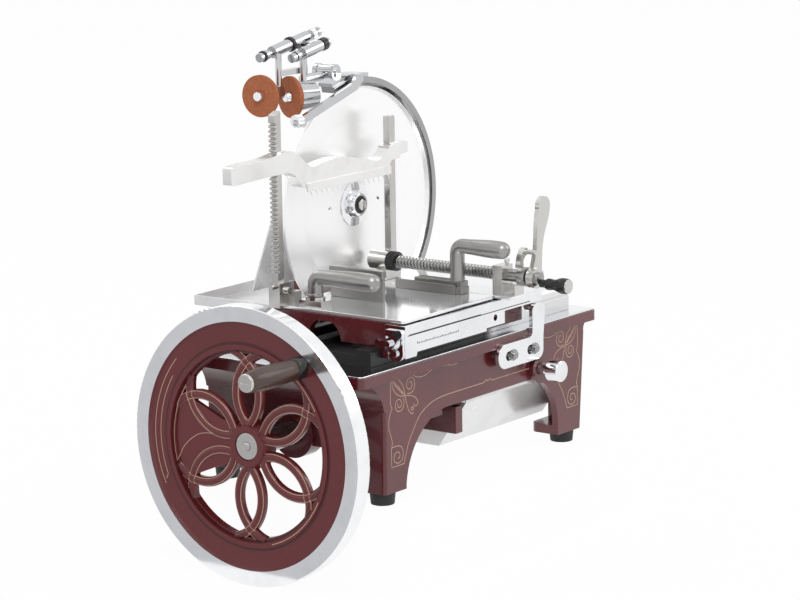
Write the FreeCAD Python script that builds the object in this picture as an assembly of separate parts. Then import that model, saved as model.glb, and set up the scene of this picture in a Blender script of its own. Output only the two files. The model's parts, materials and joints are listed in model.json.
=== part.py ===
import FreeCAD, Part

import math
import os

# Hand cranked flywheel meat slicer, in millimetres.
# +X runs along the base and the carriage travel, away from the flywheel.
# +Y runs from the operator's front face to the blade. +Z is up.
# The origin is the centre of the four feet on the surface that they stand on.
# The flywheel hangs below that surface, past the edge of the stand.

V = FreeCAD.Vector
X, Y, Z = V(1, 0, 0), V(0, 1, 0), V(0, 0, 1)

# Clearances
RUN_GAP = 0.05          # radial, shaft in its bush
SLIDE_GAP = 0.3         # between faces that slide or stand off
SIDE_GAP = 1.0          # axial, between turning parts and what stands beside them

# Base casting
BASE_L = 420.0          # over the legs, along X
BASE_D = 276.0          # over the legs, along Y
FOOT_H = 15.0
FOOT_R = 16.0
FOOT_INSET = 17.0       # foot centre from the leg's outer faces
LEG_W = 43.0
PAD_H = 12.0            # closed pad at the bottom of each leg
WALL = 9.0
LIP_Z = 155.0
DECK_Z = 168.0          # top of the casting
PLATE_T = 2.0           # polished plate on the casting
LIP_LEFT = 54.0         # how far the lip stands past the legs
LIP_RIGHT = 30.0
LIP_FRONT = 8.0
ARCH_TOP = 100.0
END_ARCH_TOP = 62.0
REAR_ARCH_TOP = 46.0
TOP_Z = DECK_Z + PLATE_T

# Flywheel and main shaft
SHAFT_Z = 76.0
SHAFT_R = 10.0
BUSH_T = 4.0
WHEEL_R = 171.4
WEB_R = 152.2
RIM_W = 23.0
WHEEL_BACK = -281.8     # X of the rim's back face
WEB_T = 10.0
WEB_DISH = 3.5          # web face behind the rim's front face
HUB_R = 19.0
CAP_R = 17.0
CAP_T = 3.5
CAP_X = WHEEL_BACK - RIM_W + 4
PETALS = 6
PETAL_HALF = 17.5       # of a petal, to the middle of its moulding
PETAL_W = 6.0           # half the width of the moulding
GRIP_L = 95.0
GRIP_R = 14.2
GRIP_CAP_R = 11.3
GRIP_Y = -88.0
GRIP_Z = 107.5

# Gear train
CRANK_X = -95.0         # axis of the crown gear
CROWN_R = 60.0
CROWN_TEETH = 40
PINION_TEETH = 16
FACE_W = 12.0           # tooth length
TOOTH_H = 5.5
TOOTH_W = 4.0           # crown gear and its pinion, at the root
MITRE_TOOTH_W = 2.7
CROWN_HUB_H = 16.0      # lifts the crank arm over the gear on the shaft's end
CRANK_R = 90.0          # half of the carriage stroke
CRANK_ANGLE = -84.0     # of the crank pin at rest, from +X
ROD_L = 150.0
MITRE_TEETH = 32
MITRE_PINION_TEETH = 16
MITRE_R = 36.0
CHAIN_Y = BASE_D / 2 - 26   # plane of the chain
LOWER_SPROCKET_R = 30.0
UPPER_SPROCKET_R = 15.0
SPROCKET_T = 7.0
CHAIN_T = 5.0
CHAIN_W = 8.0

# Blade
BLADE_X = -2.6
BLADE_Z = 322.6
BLADE_R = 150.0
BLADE_Y = 53.4          # plane of the cutting edge
KNIFE_SHAFT_R = 10.0
GUARD_IN = 154.0
GUARD_OUT = 162.0

# Carriage and table
STROKE_LEFT = 69.0
STROKE_RIGHT = 110.0
BED_Z = 191.0           # top of the slide bed
BED_Y0, BED_Y1 = -121.0, -12.0
CAR_X0, CAR_X1 = -190.0, 92.0
CAR_Y0, CAR_Y1 = -145.0, 43.0
CAR_TOP = 222.0
SHEET_T = 4.0
TABLE_X1 = -1.0
TABLE_Y0, TABLE_Y1 = -153.0, 37.0
TABLE_TOP = CAR_TOP + 0.2 + SHEET_T
BEAM_Y0 = -160.0
BEAM_T = 8.0

# Feed screw
SCREW_X, SCREW_Z = 20.0, 250.0
SCREW_R = 8.0
SCREW_PITCH = 5.0
HUB_Y = -199.0

# Press frame
RACK_X, POST_X, FRAME_Y = -195.0, 34.0, 32.0
POST_W, POST_D = 12.0, 10.0
RACK_TOP, POST_TOP = 465.0, 433.0
RACK_PITCH = 5.8
BAR_T = 13.0
COMB_Z = 365.0
SPIKES = 16
SPIKE_PITCH = 12.0

# Sharpener
STONE_R = 26.0
STONE_T = 8.0

# Column behind the blade, and the chain in its plane
COLUMN_Y1 = BASE_D / 2 - 8
COLUMN_Y0 = COLUMN_Y1 - 46

# Shafts and links
CROSS_R = 8.0
STUD_R = 8.0
LINK_R = 6.0
ARM_T = 8.0
PIN_H = 6.0
ROD_T = 9.0
ROD_LIFT = 0.6          # between the crank pin's top and the rod
CROWN_Z = SHAFT_Z + CROWN_R * PINION_TEETH / CROWN_TEETH
ARM_Z = CROWN_Z + TOOTH_H / 2 + CROWN_HUB_H
ROD_Z = ARM_Z + ARM_T + PIN_H + ROD_LIFT
MITRE_PINION_R = MITRE_R * MITRE_PINION_TEETH / MITRE_TEETH
PIN_X = CRANK_X + CRANK_R * math.cos(math.radians(CRANK_ANGLE))
PIN_Y = CRANK_R * math.sin(math.radians(CRANK_ANGLE))
PIVOT_X = PIN_X + math.sqrt(ROD_L ** 2 - PIN_Y ** 2)

# Front bracket, its roller and the thickness knob
FRONT_Y = -BASE_D / 2
KNOB_X, KNOB_Z = 114.0, 112.0
KNOB_R = 13.7
KNOB_SPINDLE_R = 6.0
BRACKET_BOLTS = (41.0, 88.0)
BOLT_Z = 144.0
BOLT_R = 4.0
BRACKET_T = 5.4
BRACKET_Y1 = FRONT_Y - LIP_FRONT - 0.3
BRACKET_Y0 = BRACKET_Y1 - BRACKET_T
ROLLER_X, ROLLER_Z, ROLLER_R = 98.0, 197.0, 8.0
ROLLER_Y = BRACKET_Y1 + 4.8
ROLLER_W = 8.0

# Side clamps
JAW_X, JAW_Y0, JAW_Y1 = -10.0, -116.0, -35.0
JAW_TOP = 242.0
LEFT_X, LEFT_Y = -170.0, -6.0

# Guard and sharpener
GUARD_Y0, GUARD_Y1 = 51.0, 72.0
STONES = ((V(-150, 88, 475), 5.0), (V(-96, 84, 468), -18.0))
AXLE_L = (44.0, 30.0)
AXLE_R = 5.0
SWING_X, SWING_Z = -18.0, 492.0
SWING_Y0, SWING_Y1 = 80.0, 100.0
HEAD_Y0 = 76.0
BAND_Y0 = GUARD_Y0 + 2  # front of the band that clips on the guard
STAY_Y = 42.0           # front of the stay before the blade
STRUTS = ((-112.0, 91.0, 475.0, 523.0, 4.0), (-73.0, 83.0, 480.0, 522.0, 4.5),
          (-62.0, 91.0, 480.0, 528.0, 4.5))   # x, y, from z, to z, radius
PUSH_WAY = V(0.9836, 0, 0.1802)
PUSH_R = 4.0
PUSH_RODS = ((V(-136, 102, 519), 120.0), (V(-99, 81, 516), 74.0))

parts = {}


def box(x0, x1, y0, y1, z0, z1):
    return Part.makeBox(x1 - x0, y1 - y0, z1 - z0, V(x0, y0, z0))


def rod(p, axis, r, length):
    return Part.makeCylinder(r, length, V(*p), axis)


def ring(p, axis, r_out, r_in, length):
    hole = Part.makeCylinder(r_in, length + 2, V(*p) - axis, axis)
    return rod(p, axis, r_out, length).cut(hole)


def join(first, *more):
    return first.fuse([s for s in more]).removeSplitter()


def face_of(points):
    """A face through points; a triple (via, end) makes an arc and a list makes a smooth curve."""
    edges = []
    here = points[0]
    for step in points[1:]:
        if isinstance(step, tuple):
            via, end = step
            edges.append(Part.Arc(here, via, end).toShape())
            here = end
        elif isinstance(step, list):
            curve = Part.BSplineCurve()
            curve.interpolate([here] + step)
            edges.append(curve.toShape())
            here = step[-1]
        else:
            edges.append(Part.LineSegment(here, step).toShape())
            here = step
    if (here - points[0]).Length > 1e-6:
        edges.append(Part.LineSegment(here, points[0]).toShape())
    return Part.Face(Part.Wire(edges))


def lift(points, plane, at):
    """Put pairs of numbers on a plane: 'xz' at y, 'yz' at x, 'xy' at z."""
    def put(p):
        if isinstance(p, list):
            return [put(q) for q in p]
        a, b = p
        if isinstance(a, tuple):
            return (put(a), put(b))
        return {"xz": V(a, at, b), "yz": V(at, a, b), "xy": V(a, b, at)}[plane]
    return [put(p) for p in points]


def prism(points, plane, a0, a1):
    way = {"xz": Y, "yz": X, "xy": Z}[plane]
    return face_of(lift(points, plane, a0)).extrude(way * (a1 - a0))


def soften(shape, radius, pick):
    edges = [e for e in shape.Edges if pick(e)]
    return shape.makeFillet(radius, edges) if edges else shape


def along(axis):
    """A test for straight edges that run along an axis."""
    def test(edge):
        if not isinstance(edge.Curve, (Part.Line, Part.LineSegment)):
            return False
        a, b = edge.Vertexes[0].Point, edge.Vertexes[-1].Point
        return (b - a).normalize().cross(axis).Length < 1e-6
    return test


def make_base():
    hl, hd = BASE_L / 2, BASE_D / 2
    cove = 38.0
    left = -hl - LIP_LEFT
    right = hl + LIP_RIGHT
    slope = 11.0
    side = [(-hl, FOOT_H), (-hl, LIP_Z - cove),
            ((-hl - cove * 0.35, LIP_Z - cove * 0.3), (left + 8, LIP_Z)),
            (left, LIP_Z), (left, DECK_Z), (right, DECK_Z), (right, LIP_Z),
            (right - 6, LIP_Z), ((hl + slope + 2, LIP_Z - 3), (hl + slope - 1, LIP_Z - 14)),
            (hl, FOOT_H)]
    body = prism(side, "xz", -hd, hd)
    lip = box(left, right, -hd - LIP_FRONT, hd + LIP_FRONT, LIP_Z, DECK_Z)
    lip = soften(lip, 8.0, along(Z))
    edge = 5.0
    for y in (-hd, hd):
        inward = -edge if y > 0 else edge
        strip = box(-hl - 1, -hl + edge, min(y, y + inward) - 1, max(y, y + inward) + 1,
                    FOOT_H, LIP_Z - cove)
        round_part = rod((-hl + edge, y + inward, FOOT_H), Z, edge, LIP_Z - cove - FOOT_H)
        keep = box(-hl + edge, -hl + edge + 1, y - edge - 2, y + edge + 2, FOOT_H, LIP_Z)
        inner_side = box(-hl - 2, -hl + edge, *sorted((y + inward, y + 2 * inward)),
                         FOOT_H, LIP_Z)
        body = body.cut(strip.cut(round_part.fuse([keep, inner_side])))
    body = body.fuse(lip)
    inner = box(-hl + WALL, hl - WALL, -hd + WALL, hd - WALL, FOOT_H - 1, LIP_Z + 3)
    body = body.cut(inner)
    leg = hl - LEG_W
    arch = [(-leg, FOOT_H - 1), (-leg, FOOT_H + 6),
            ((-leg + 28, ARCH_TOP - 24), (-leg + 82, ARCH_TOP)), (leg - 67, ARCH_TOP),
            ((leg - 20, ARCH_TOP - 28), (leg - 7, FOOT_H + 18)), (leg - 7, FOOT_H - 1)]
    body = body.cut(prism(arch, "xz", -hd - 1, -hd + WALL + 1))
    rear = box(-leg, leg, hd - WALL - 1, hd + 1, FOOT_H - 1, REAR_ARCH_TOP)
    body = body.cut(soften(rear, 20.0, lambda e: along(Y)(e) and e.BoundBox.ZMin > FOOT_H))
    ly = hd - LEG_W
    for x0, top in ((-hl - 2, END_ARCH_TOP), (hl - WALL - 1, ARCH_TOP)):
        cut = box(x0, x0 + WALL + 16, -ly, ly, FOOT_H - 1, top)
        body = body.cut(soften(cut, 30.0, lambda e: along(X)(e) and e.BoundBox.ZMin > FOOT_H))
    boss = rod((-hl - 4, 0, SHAFT_Z), X, 32.0, WALL + 15)
    body = body.fuse(boss)
    rear_boss = rod((BLADE_X, hd - 18, SHAFT_Z), Y, 20.0, 18.0)
    body = body.fuse(rear_boss)
    for sx in (-1, 1):
        for sy in (-1, 1):
            x0 = -hl if sx < 0 else hl - LEG_W - 7
            wide = LEG_W if sx < 0 else LEG_W + 7
            y0 = -hd if sy < 0 else hd - LEG_W
            pad = box(x0, x0 + wide, y0, y0 + LEG_W, FOOT_H, FOOT_H + PAD_H)
            body = body.fuse(soften(pad, 10.0, along(Z)))
    knob = rod((KNOB_X, -hd - 6, KNOB_Z), Y, 19.0, WALL + 6)
    body = body.fuse(knob)
    bush_r = SHAFT_R + BUSH_T
    body = body.cut(rod((-hl - 5, 0, SHAFT_Z), X, bush_r, WALL + 20))
    body = body.cut(rod((BLADE_X, hd - 19, SHAFT_Z), Y, CROSS_R + RUN_GAP, 15.0))
    body = body.cut(rod((KNOB_X, -hd - 7, KNOB_Z), Y, KNOB_SPINDLE_R + RUN_GAP, WALL + 9))
    for x in BRACKET_BOLTS:
        body = body.cut(rod((x, -hd - 1, BOLT_Z), Y, BOLT_R, WALL + 2))
    body = body.cut(link_slot(LIP_Z - 1, DECK_Z + 1))
    body = body.cut(chain_slot(LIP_Z - 1, DECK_Z + 1))
    return body.removeSplitter()


def link_slot(z0, z1):
    half = LINK_R + 3
    x0, x1 = PIVOT_X - STROKE_LEFT - half, PIVOT_X + STROKE_RIGHT + half
    return box(x0, x1, -half, half, z0, z1)


def chain_slot(z0, z1):
    half = LOWER_SPROCKET_R + CHAIN_T + 3
    return box(BLADE_X - half, BLADE_X + half, CHAIN_Y - 8, CHAIN_Y + 8, z0, z1)


def make_top_plate():
    x0, x1 = -BASE_L / 2 - LIP_LEFT + 2, BASE_L / 2 + LIP_RIGHT - 2
    y1 = BASE_D / 2 + LIP_FRONT - 2
    plate = box(x0, x1, -y1, y1, DECK_Z, TOP_Z)
    plate = soften(plate, 7.0, along(Z))
    plate = plate.cut(link_slot(DECK_Z - 1, TOP_Z + 1))
    return plate.cut(chain_slot(DECK_Z - 1, TOP_Z + 1))


def make_feet():
    feet = []
    for sx in (-1, 1):
        for sy in (-1, 1):
            x = sx * (BASE_L / 2 - FOOT_INSET)
            y = sy * (BASE_D / 2 - FOOT_INSET)
            foot = Part.makeCone(FOOT_R - 1.5, FOOT_R, FOOT_H, V(x, y, 0))
            feet.append(foot)
    return Part.makeCompound(feet)


def make_guard_tray():
    t = 1.5
    front = FRONT_Y + WALL + SLIDE_GAP
    back = BASE_D / 2 - 20
    x0, x1 = -30.0, BASE_L / 2 - WALL - 0.5
    low, bend = 33.0, front + 42
    outer = [(front, ARCH_TOP + 14), (front, ARCH_TOP - 7), (bend, low), (back, low),
             (back, low + 24), (back - t, low + 24), (back - t, low + t), (bend + t / 2, low + t),
             (front + t, ARCH_TOP - 6.4), (front + t, ARCH_TOP + 14)]
    sheet = prism(outer, "yz", x0, x1)
    end = prism([(front, ARCH_TOP - 7), (bend, low), (back - 14, low), (back - 14, low + 18),
                 (bend + 25, low + 18), (front + 28, ARCH_TOP - 7)], "yz", x0, x0 + t)
    return join(sheet, end)


def make_slide_bed():
    x0, x1 = -BASE_L / 2 - 2, BASE_L / 2 + 2
    bed = prism([(BED_Y0, TOP_Z), (BED_Y0, BED_Z - 3), (BED_Y0 + 3, BED_Z), (BED_Y1 - 3, BED_Z),
                 (BED_Y1, BED_Z - 3), (BED_Y1, TOP_Z)], "yz", x0, x1)
    bed = bed.cut(box(x0 - 1, x1 + 1, BED_Y0 + 22, BED_Y1 - 22, BED_Z - 7, BED_Z + 1))
    rear = prism([(18, TOP_Z), (18, BED_Z - 1.5), (19.5, BED_Z), (32.5, BED_Z),
                  (34, BED_Z - 1.5), (34, TOP_Z)], "yz", x0, x1)
    return Part.makeCompound([bed, rear])


def make_bearings():
    """Two bronze bushes of the main shaft."""
    bush_r = SHAFT_R + BUSH_T
    a = ring((-BASE_L / 2 - 6, 0, SHAFT_Z), X, bush_r, SHAFT_R + RUN_GAP, WALL + 17)
    b = ring((-53, 0, SHAFT_Z), X, bush_r, SHAFT_R + RUN_GAP, 16)
    return Part.makeCompound([a, b])


def make_cross_beam():
    inner = BASE_D / 2 - WALL
    beam = box(-52, -38, -inner, inner, 58, 92)
    beam = beam.fuse(box(-38, BLADE_X + 16, 52, 66, 62, 92))
    beam = beam.cut(rod((-53, 0, SHAFT_Z), X, SHAFT_R + BUSH_T, 16))
    beam = beam.cut(rod((BLADE_X, 50, SHAFT_Z), Y, CROSS_R + RUN_GAP, 18))
    return beam.removeSplitter()


def make_gear_bridge():
    inner = BASE_D / 2 - WALL
    top = CROWN_Z - TOOTH_H / 2 - 2.5
    plate = box(CRANK_X - 15, CRANK_X + 15, -inner, inner, SHAFT_Z + SHAFT_R + 2, top)
    stud = rod((CRANK_X, 0, top), Z, STUD_R, CROWN_Z + 12 - top)
    collar = rod((CRANK_X, 0, top), Z, STUD_R + 4, 3.0)
    return join(plate, stud, collar)


def tooth_profile(width, height):
    return [(-width / 2, 0), (-width * 0.3, height), (width * 0.3, height), (width / 2, 0)]


def spur_teeth(n, r_root, height, width, length, phase=0.0):
    """Straight teeth round the X axis, from x = 0."""
    teeth = []
    one = prism([(y, z + r_root - 0.5) for y, z in tooth_profile(width, height + 0.5)],
                "yz", 0, length)
    for i in range(n):
        t = one.copy()
        t.rotate(V(0, 0, 0), X, 360.0 / n * i + phase)
        teeth.append(t)
    return teeth


def face_teeth(n, r, length, height, width, phase=0.0):
    """Teeth that point to -Z from the plane z = 0, on a ring of radius r."""
    teeth = []
    for i in range(n):
        t = prism([(y, 0.5 - z) for y, z in tooth_profile(width, height + 0.5)],
                  "yz", r - length / 2, r + length / 2)
        t.rotate(V(0, 0, 0), Z, 360.0 / n * (i + 0.5) + phase)
        teeth.append(t)
    return teeth


def make_crown():
    z0 = CROWN_Z + TOOTH_H / 2
    outer = CROWN_R + FACE_W / 2
    disc = rod((CRANK_X, 0, z0), Z, outer, 9.0)
    disc = disc.cut(rod((CRANK_X, 0, z0 + 4), Z, outer - FACE_W - 4, 6.0))
    hub = rod((CRANK_X, 0, z0), Z, 18.0, CROWN_HUB_H)
    pad_way = V(math.cos(math.radians(CRANK_ANGLE)), math.sin(math.radians(CRANK_ANGLE)), 0)
    pad = rod((CRANK_X, 0, z0 + 3), Z, 9.0, CROWN_HUB_H - 3)
    pad.translate(pad_way * 52)
    teeth = face_teeth(CROWN_TEETH, CROWN_R, FACE_W, TOOTH_H, TOOTH_W)
    for t in teeth:
        t.translate(V(CRANK_X, 0, z0))
    bore = rod((CRANK_X, 0, z0 - 1), Z, STUD_R + RUN_GAP, 9.0 + 5)
    return disc.fuse([hub, pad]).cut(bore).fuse(teeth)


def make_crank_arm():
    arm = box(-4, CRANK_R, -11, 11, 0, ARM_T).fuse(rod((CRANK_R, 0, 0), Z, 11, ARM_T))
    arm = arm.fuse(rod((0, 0, 0), Z, 17, ARM_T))
    arm = arm.fuse(rod((CRANK_R, 0, ARM_T), Z, 6.5, PIN_H))
    arm.rotate(V(0, 0, 0), Z, CRANK_ANGLE)
    arm.translate(V(CRANK_X, 0, ARM_Z))
    return arm.removeSplitter()


def make_connecting_rod():
    way = V(PIN_X - PIVOT_X, PIN_Y, 0)
    bar = box(0, ROD_L, -7, 7, 0, ROD_T)
    bar = bar.fuse(rod((ROD_L, 0, 0), Z, 11, ROD_T)).fuse(rod((0, 0, 0), Z, 11, ROD_T))
    bar = bar.cut(rod((ROD_L, 0, -1), Z, 6.6, ROD_T + 2))
    bar = bar.cut(rod((0, 0, -1), Z, LINK_R + RUN_GAP, ROD_T + 2))
    bar.rotate(V(0, 0, 0), Z, math.degrees(math.atan2(way.y, way.x)))
    bar.translate(V(PIVOT_X, 0, ROD_Z))
    return bar.removeSplitter()


def make_pinion():
    r = CROWN_R * PINION_TEETH / CROWN_TEETH
    root = r - TOOTH_H / 2
    body = rod((0, 0, 0), X, root, FACE_W)
    teeth = spur_teeth(PINION_TEETH, root, TOOTH_H - 0.8, TOOTH_W, FACE_W)
    g = body.fuse(teeth + [rod((-6, 0, 0), X, 15, 6)])
    g = g.cut(rod((-7, 0, 0), X, SHAFT_R, FACE_W + 8)).removeSplitter()
    g.translate(V(CRANK_X - CROWN_R - FACE_W / 2, 0, SHAFT_Z))
    return g


def make_mitre_gear():
    """Face gear on the end of the main shaft, teeth towards +X."""
    x0 = BLADE_X - MITRE_PINION_R - TOOTH_H / 2
    teeth = face_teeth(MITRE_TEETH, MITRE_R, 8.0, TOOTH_H - 1.4, MITRE_TOOTH_W)
    disc = rod((0, 0, 0), Z, MITRE_R + 5, 6.0)
    hub = rod((0, 0, 6), Z, 15, 3.0)
    g = disc.fuse(teeth + [hub])
    g.rotate(V(0, 0, 0), Y, -90)
    g.translate(V(x0 + 1, 0, SHAFT_Z))
    return g.cut(rod((x0 - 14, 0, SHAFT_Z), X, SHAFT_R, 20)).removeSplitter()


def make_cross_pinion():
    root = MITRE_PINION_R - TOOTH_H / 2
    teeth = spur_teeth(MITRE_PINION_TEETH, root, TOOTH_H - 1.4, MITRE_TOOTH_W, 10.0)
    g = rod((0, 0, 0), X, root, 10.0).fuse(teeth)
    g = g.cut(rod((-1, 0, 0), X, CROSS_R, 12))
    g.rotate(V(0, 0, 0), Z, 90)
    g.rotate(V(0, 0, 0), Y, 90)
    g.translate(V(BLADE_X, MITRE_R - 5, SHAFT_Z))
    return g.removeSplitter()


def make_sprocket(r, bore, z):
    n = 24 if r > 20 else 12
    root = r - 3
    teeth = spur_teeth(n, root, 3.0, 4.0, SPROCKET_T)
    g = rod((0, 0, 0), X, root, SPROCKET_T).fuse(teeth)
    g = g.cut(rod((-1, 0, 0), X, bore, SPROCKET_T + 2))
    g.rotate(V(0, 0, 0), Z, 90)
    g.translate(V(BLADE_X, CHAIN_Y - SPROCKET_T / 2, z))
    return g.removeSplitter()


def make_chain():
    def loop(grow):
        r0, r1 = LOWER_SPROCKET_R + grow, UPPER_SPROCKET_R + grow
        dist = BLADE_Z - SHAFT_Z
        a = math.asin((r0 - r1) / dist)
        c, s = math.cos(a), math.sin(a)
        pts = [(BLADE_X - r0 * c, SHAFT_Z + r0 * s), (BLADE_X - r1 * c, BLADE_Z + r1 * s),
               ((BLADE_X, BLADE_Z + r1), (BLADE_X + r1 * c, BLADE_Z + r1 * s)),
               (BLADE_X + r0 * c, SHAFT_Z + r0 * s),
               ((BLADE_X, SHAFT_Z - r0), (BLADE_X - r0 * c, SHAFT_Z + r0 * s))]
        return prism(pts, "xz", CHAIN_Y - CHAIN_W / 2, CHAIN_Y + CHAIN_W / 2)
    return loop(SLIDE_GAP + CHAIN_T).cut(loop(SLIDE_GAP))


def make_column():
    foot = box(BLADE_X - 46, BLADE_X + 46, COLUMN_Y0, COLUMN_Y1, TOP_Z, TOP_Z + 12)
    outline = [(BLADE_X - 46, TOP_Z), (BLADE_X + 46, TOP_Z), (BLADE_X + 32, BLADE_Z),
               ((BLADE_X, BLADE_Z + 32), (BLADE_X - 32, BLADE_Z))]
    body = prism(outline, "xz", COLUMN_Y0, COLUMN_Y1).fuse(foot)
    room = [(BLADE_X - 40, TOP_Z - 1), (BLADE_X + 40, TOP_Z - 1), (BLADE_X + 25, BLADE_Z),
            ((BLADE_X, BLADE_Z + 25), (BLADE_X - 25, BLADE_Z))]
    body = body.cut(prism(room, "xz", COLUMN_Y0 + 16, COLUMN_Y1 + 1))
    nose = rod((BLADE_X, COLUMN_Y0 - 14, BLADE_Z), Y, 24, 14)
    body = body.fuse(nose)
    return body.cut(rod((BLADE_X, COLUMN_Y0 - 15, BLADE_Z), Y, KNIFE_SHAFT_R + BUSH_T, 32)
                    ).removeSplitter()


def make_column_cover():
    outline = [(BLADE_X - 46, TOP_Z), (BLADE_X + 46, TOP_Z), (BLADE_X + 32, BLADE_Z),
               ((BLADE_X, BLADE_Z + 32), (BLADE_X - 32, BLADE_Z))]
    return prism(outline, "xz", COLUMN_Y1, COLUMN_Y1 + 3)


def make_knife_bush():
    return ring((BLADE_X, COLUMN_Y0 - 14, BLADE_Z), Y, KNIFE_SHAFT_R + BUSH_T,
                KNIFE_SHAFT_R + RUN_GAP, 30)


def turn_y(points):
    """Revolve pairs (radius, y) round the blade's axis."""
    flat = face_of([V(BLADE_X + r, y, BLADE_Z) for r, y in points])
    return flat.revolve(V(BLADE_X, 0, BLADE_Z), Y, 360)


def make_blade():
    y = BLADE_Y
    s = turn_y([(0, y + 8), (104, y + 8), (147, y + 4.5), (BLADE_R, y), (BLADE_R, y + 0.6),
                (146, y + 7.5), (104, y + 12), (0, y + 12)])
    for dx in (-49, 49):
        s = s.cut(rod((BLADE_X + dx, y, BLADE_Z), Y, 3.5, 20))
    return s.cut(rod((BLADE_X, y, BLADE_Z), Y, KNIFE_SHAFT_R, 20))


def make_knife_shaft():
    y = BLADE_Y
    shaft = rod((BLADE_X, y + 3, BLADE_Z), Y, KNIFE_SHAFT_R, CHAIN_Y + 8 - y - 3)
    flange = ring((BLADE_X, y + 12, BLADE_Z), Y, 20, KNIFE_SHAFT_R, 4)
    return join(shaft, flange)


def make_knife_nut():
    y = BLADE_Y
    nut = turn_y([(KNIFE_SHAFT_R, y + 8), (28, y + 8), (28, y + 6.8), (17.5, y + 6.2),
                  (16.5, y + 1), (14.5, y - 2), (0, y - 2), (0, y + 3), (KNIFE_SHAFT_R, y + 3)])
    recess = box(BLADE_X - 6, BLADE_X + 6, y - 3, y + 1.5, BLADE_Z - 6, BLADE_Z + 6)
    return nut.cut(recess)


def arc_band(r_in, r_out, a0, a1, y0, y1):
    """A band round the blade's axis from angle a0 to a1, degrees from +X."""
    def p(r, a):
        t = math.radians(a)
        return (BLADE_X + r * math.cos(t), BLADE_Z + r * math.sin(t))
    mid = (a0 + a1) / 2
    pts = [p(r_out, a0), (p(r_out, mid), p(r_out, a1)), p(r_in, a1), (p(r_in, mid), p(r_in, a0))]
    return prism(pts, "xz", y0, y1)


def make_guard_ring():
    band = arc_band(GUARD_IN, GUARD_OUT, -62, 108, GUARD_Y0, GUARD_Y1)
    band = band.fuse(arc_band(GUARD_IN - 9, GUARD_OUT, -62, 100, GUARD_Y1 - 3, GUARD_Y1))
    t = math.radians(-62)
    fx = BLADE_X + GUARD_IN * math.cos(t)
    fz = BLADE_Z + GUARD_IN * math.sin(t)
    foot = box(fx - 6, fx + 16, GUARD_Y0, GUARD_Y1 + 8, TOP_Z, fz + 4)
    foot = foot.cut(rod((BLADE_X, GUARD_Y0 - 1, BLADE_Z), Y, GUARD_IN, GUARD_Y1 - GUARD_Y0 - 2))
    stay = prism([(BLADE_X + 10, BLADE_Z + 25), (BLADE_X + 112, BLADE_Z + 104),
                  (BLADE_X + 104, BLADE_Z + 116), (BLADE_X - 8, BLADE_Z + 31)], "xz", 72, 77)
    web = box(BLADE_X - 8, BLADE_X + 12, 72, COLUMN_Y0, BLADE_Z + 25, BLADE_Z + 31)
    web = web.cut(rod((BLADE_X, 60, BLADE_Z), Y, 24, 30))
    return join(band, foot, stay, web)


def make_deflector():
    y0 = COLUMN_Y0 + 2
    fan = prism([(-178, 236), (-73, 236), (-112, 318), ((-124, 334), (-136, 322))],
                "xz", y0, y0 + 2)
    arm = box(-100, BLADE_X - 38, y0, y0 + 4, 240, 252)
    return join(fan, arm).cut(make_column())


def make_tray():
    x0, x1, y0, y1, z0 = -139.0, 96.0, 132.0, 215.0, 199.0
    t = 1.5
    y0 = COLUMN_Y1 + 5
    pan = box(x0, x1, y0, y1, z0, z0 + 13).cut(box(x0 + t, x1 - t, y0 - 1, y1 - t, z0 + t, z0 + 20))
    wing = box(x0, BLADE_X - 50, 80, y0, z0, z0 + 13)
    wing = wing.cut(box(x0 + t, BLADE_X - 51, 80 + t, y0 + 1, z0 + t, z0 + 20))
    legs = []
    for x in (x0 + 10, BLADE_X - 60):
        legs.append(box(x, x + 8, 100, 130, TOP_Z, z0))
    return join(pan, wing, *legs)


def make_bracket():
    y0, y1 = BRACKET_Y0, BRACKET_Y1
    z0 = BOLT_Z - 15
    pts = [(24, z0), (96, z0), ((104.5, z0 + 3.5), (108, z0 + 12)), (108, BOLT_Z + 12),
           (112, 190), ((109.5, 197), (102, 199)), (92, 199), ((86, 197), (84, 190)),
           (84, BOLT_Z + 22), ((82, BOLT_Z + 18), (76, BOLT_Z + 16)), (24, BOLT_Z + 16),
           ((9, BOLT_Z), (24, z0))]
    plate = prism(pts, "xz", y0, y1)
    half, tall = 7.0, 5.8
    for x in BRACKET_BOLTS:
        slot = box(x - half - 3, x + half - 3, y0 - 1, y1 + 1, BOLT_Z - tall, BOLT_Z + tall)
        for end in (-half - 3, half - 3):
            slot = slot.fuse(rod((x + end, y0 - 1, BOLT_Z), Y, tall, y1 - y0 + 2))
        plate = plate.cut(slot)
    return plate


def make_bracket_bolts():
    out = []
    for x in BRACKET_BOLTS:
        head = rod((x, BRACKET_Y0 - 5, BOLT_Z), Y, 5.2, 3.8)
        head = head.makeFillet(1.5, [e for e in head.Edges if e.BoundBox.YMax < BRACKET_Y0 - 4.9])
        washer = rod((x, BRACKET_Y0 - 1.2, BOLT_Z), Y, 7.4, 1.2)
        stem = rod((x, BRACKET_Y0 - 2, BOLT_Z), Y, BOLT_R - 0.02, BRACKET_T + LIP_FRONT + WALL)
        spacer = ring((x, BRACKET_Y1, BOLT_Z), Y, 9, BOLT_R - 0.1, FRONT_Y - BRACKET_Y1)
        out.append(join(head, washer, stem, spacer))
    return Part.makeCompound(out)


def make_roller():
    return ring((ROLLER_X, ROLLER_Y, ROLLER_Z), Y, ROLLER_R, 3 + RUN_GAP, ROLLER_W)


def make_roller_pin():
    end = ROLLER_Y + ROLLER_W + 0.5
    pin = rod((ROLLER_X, BRACKET_Y1, ROLLER_Z), Y, 3.0, end - BRACKET_Y1)
    return join(pin, rod((ROLLER_X, end, ROLLER_Z), Y, 5, 1.5))


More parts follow.
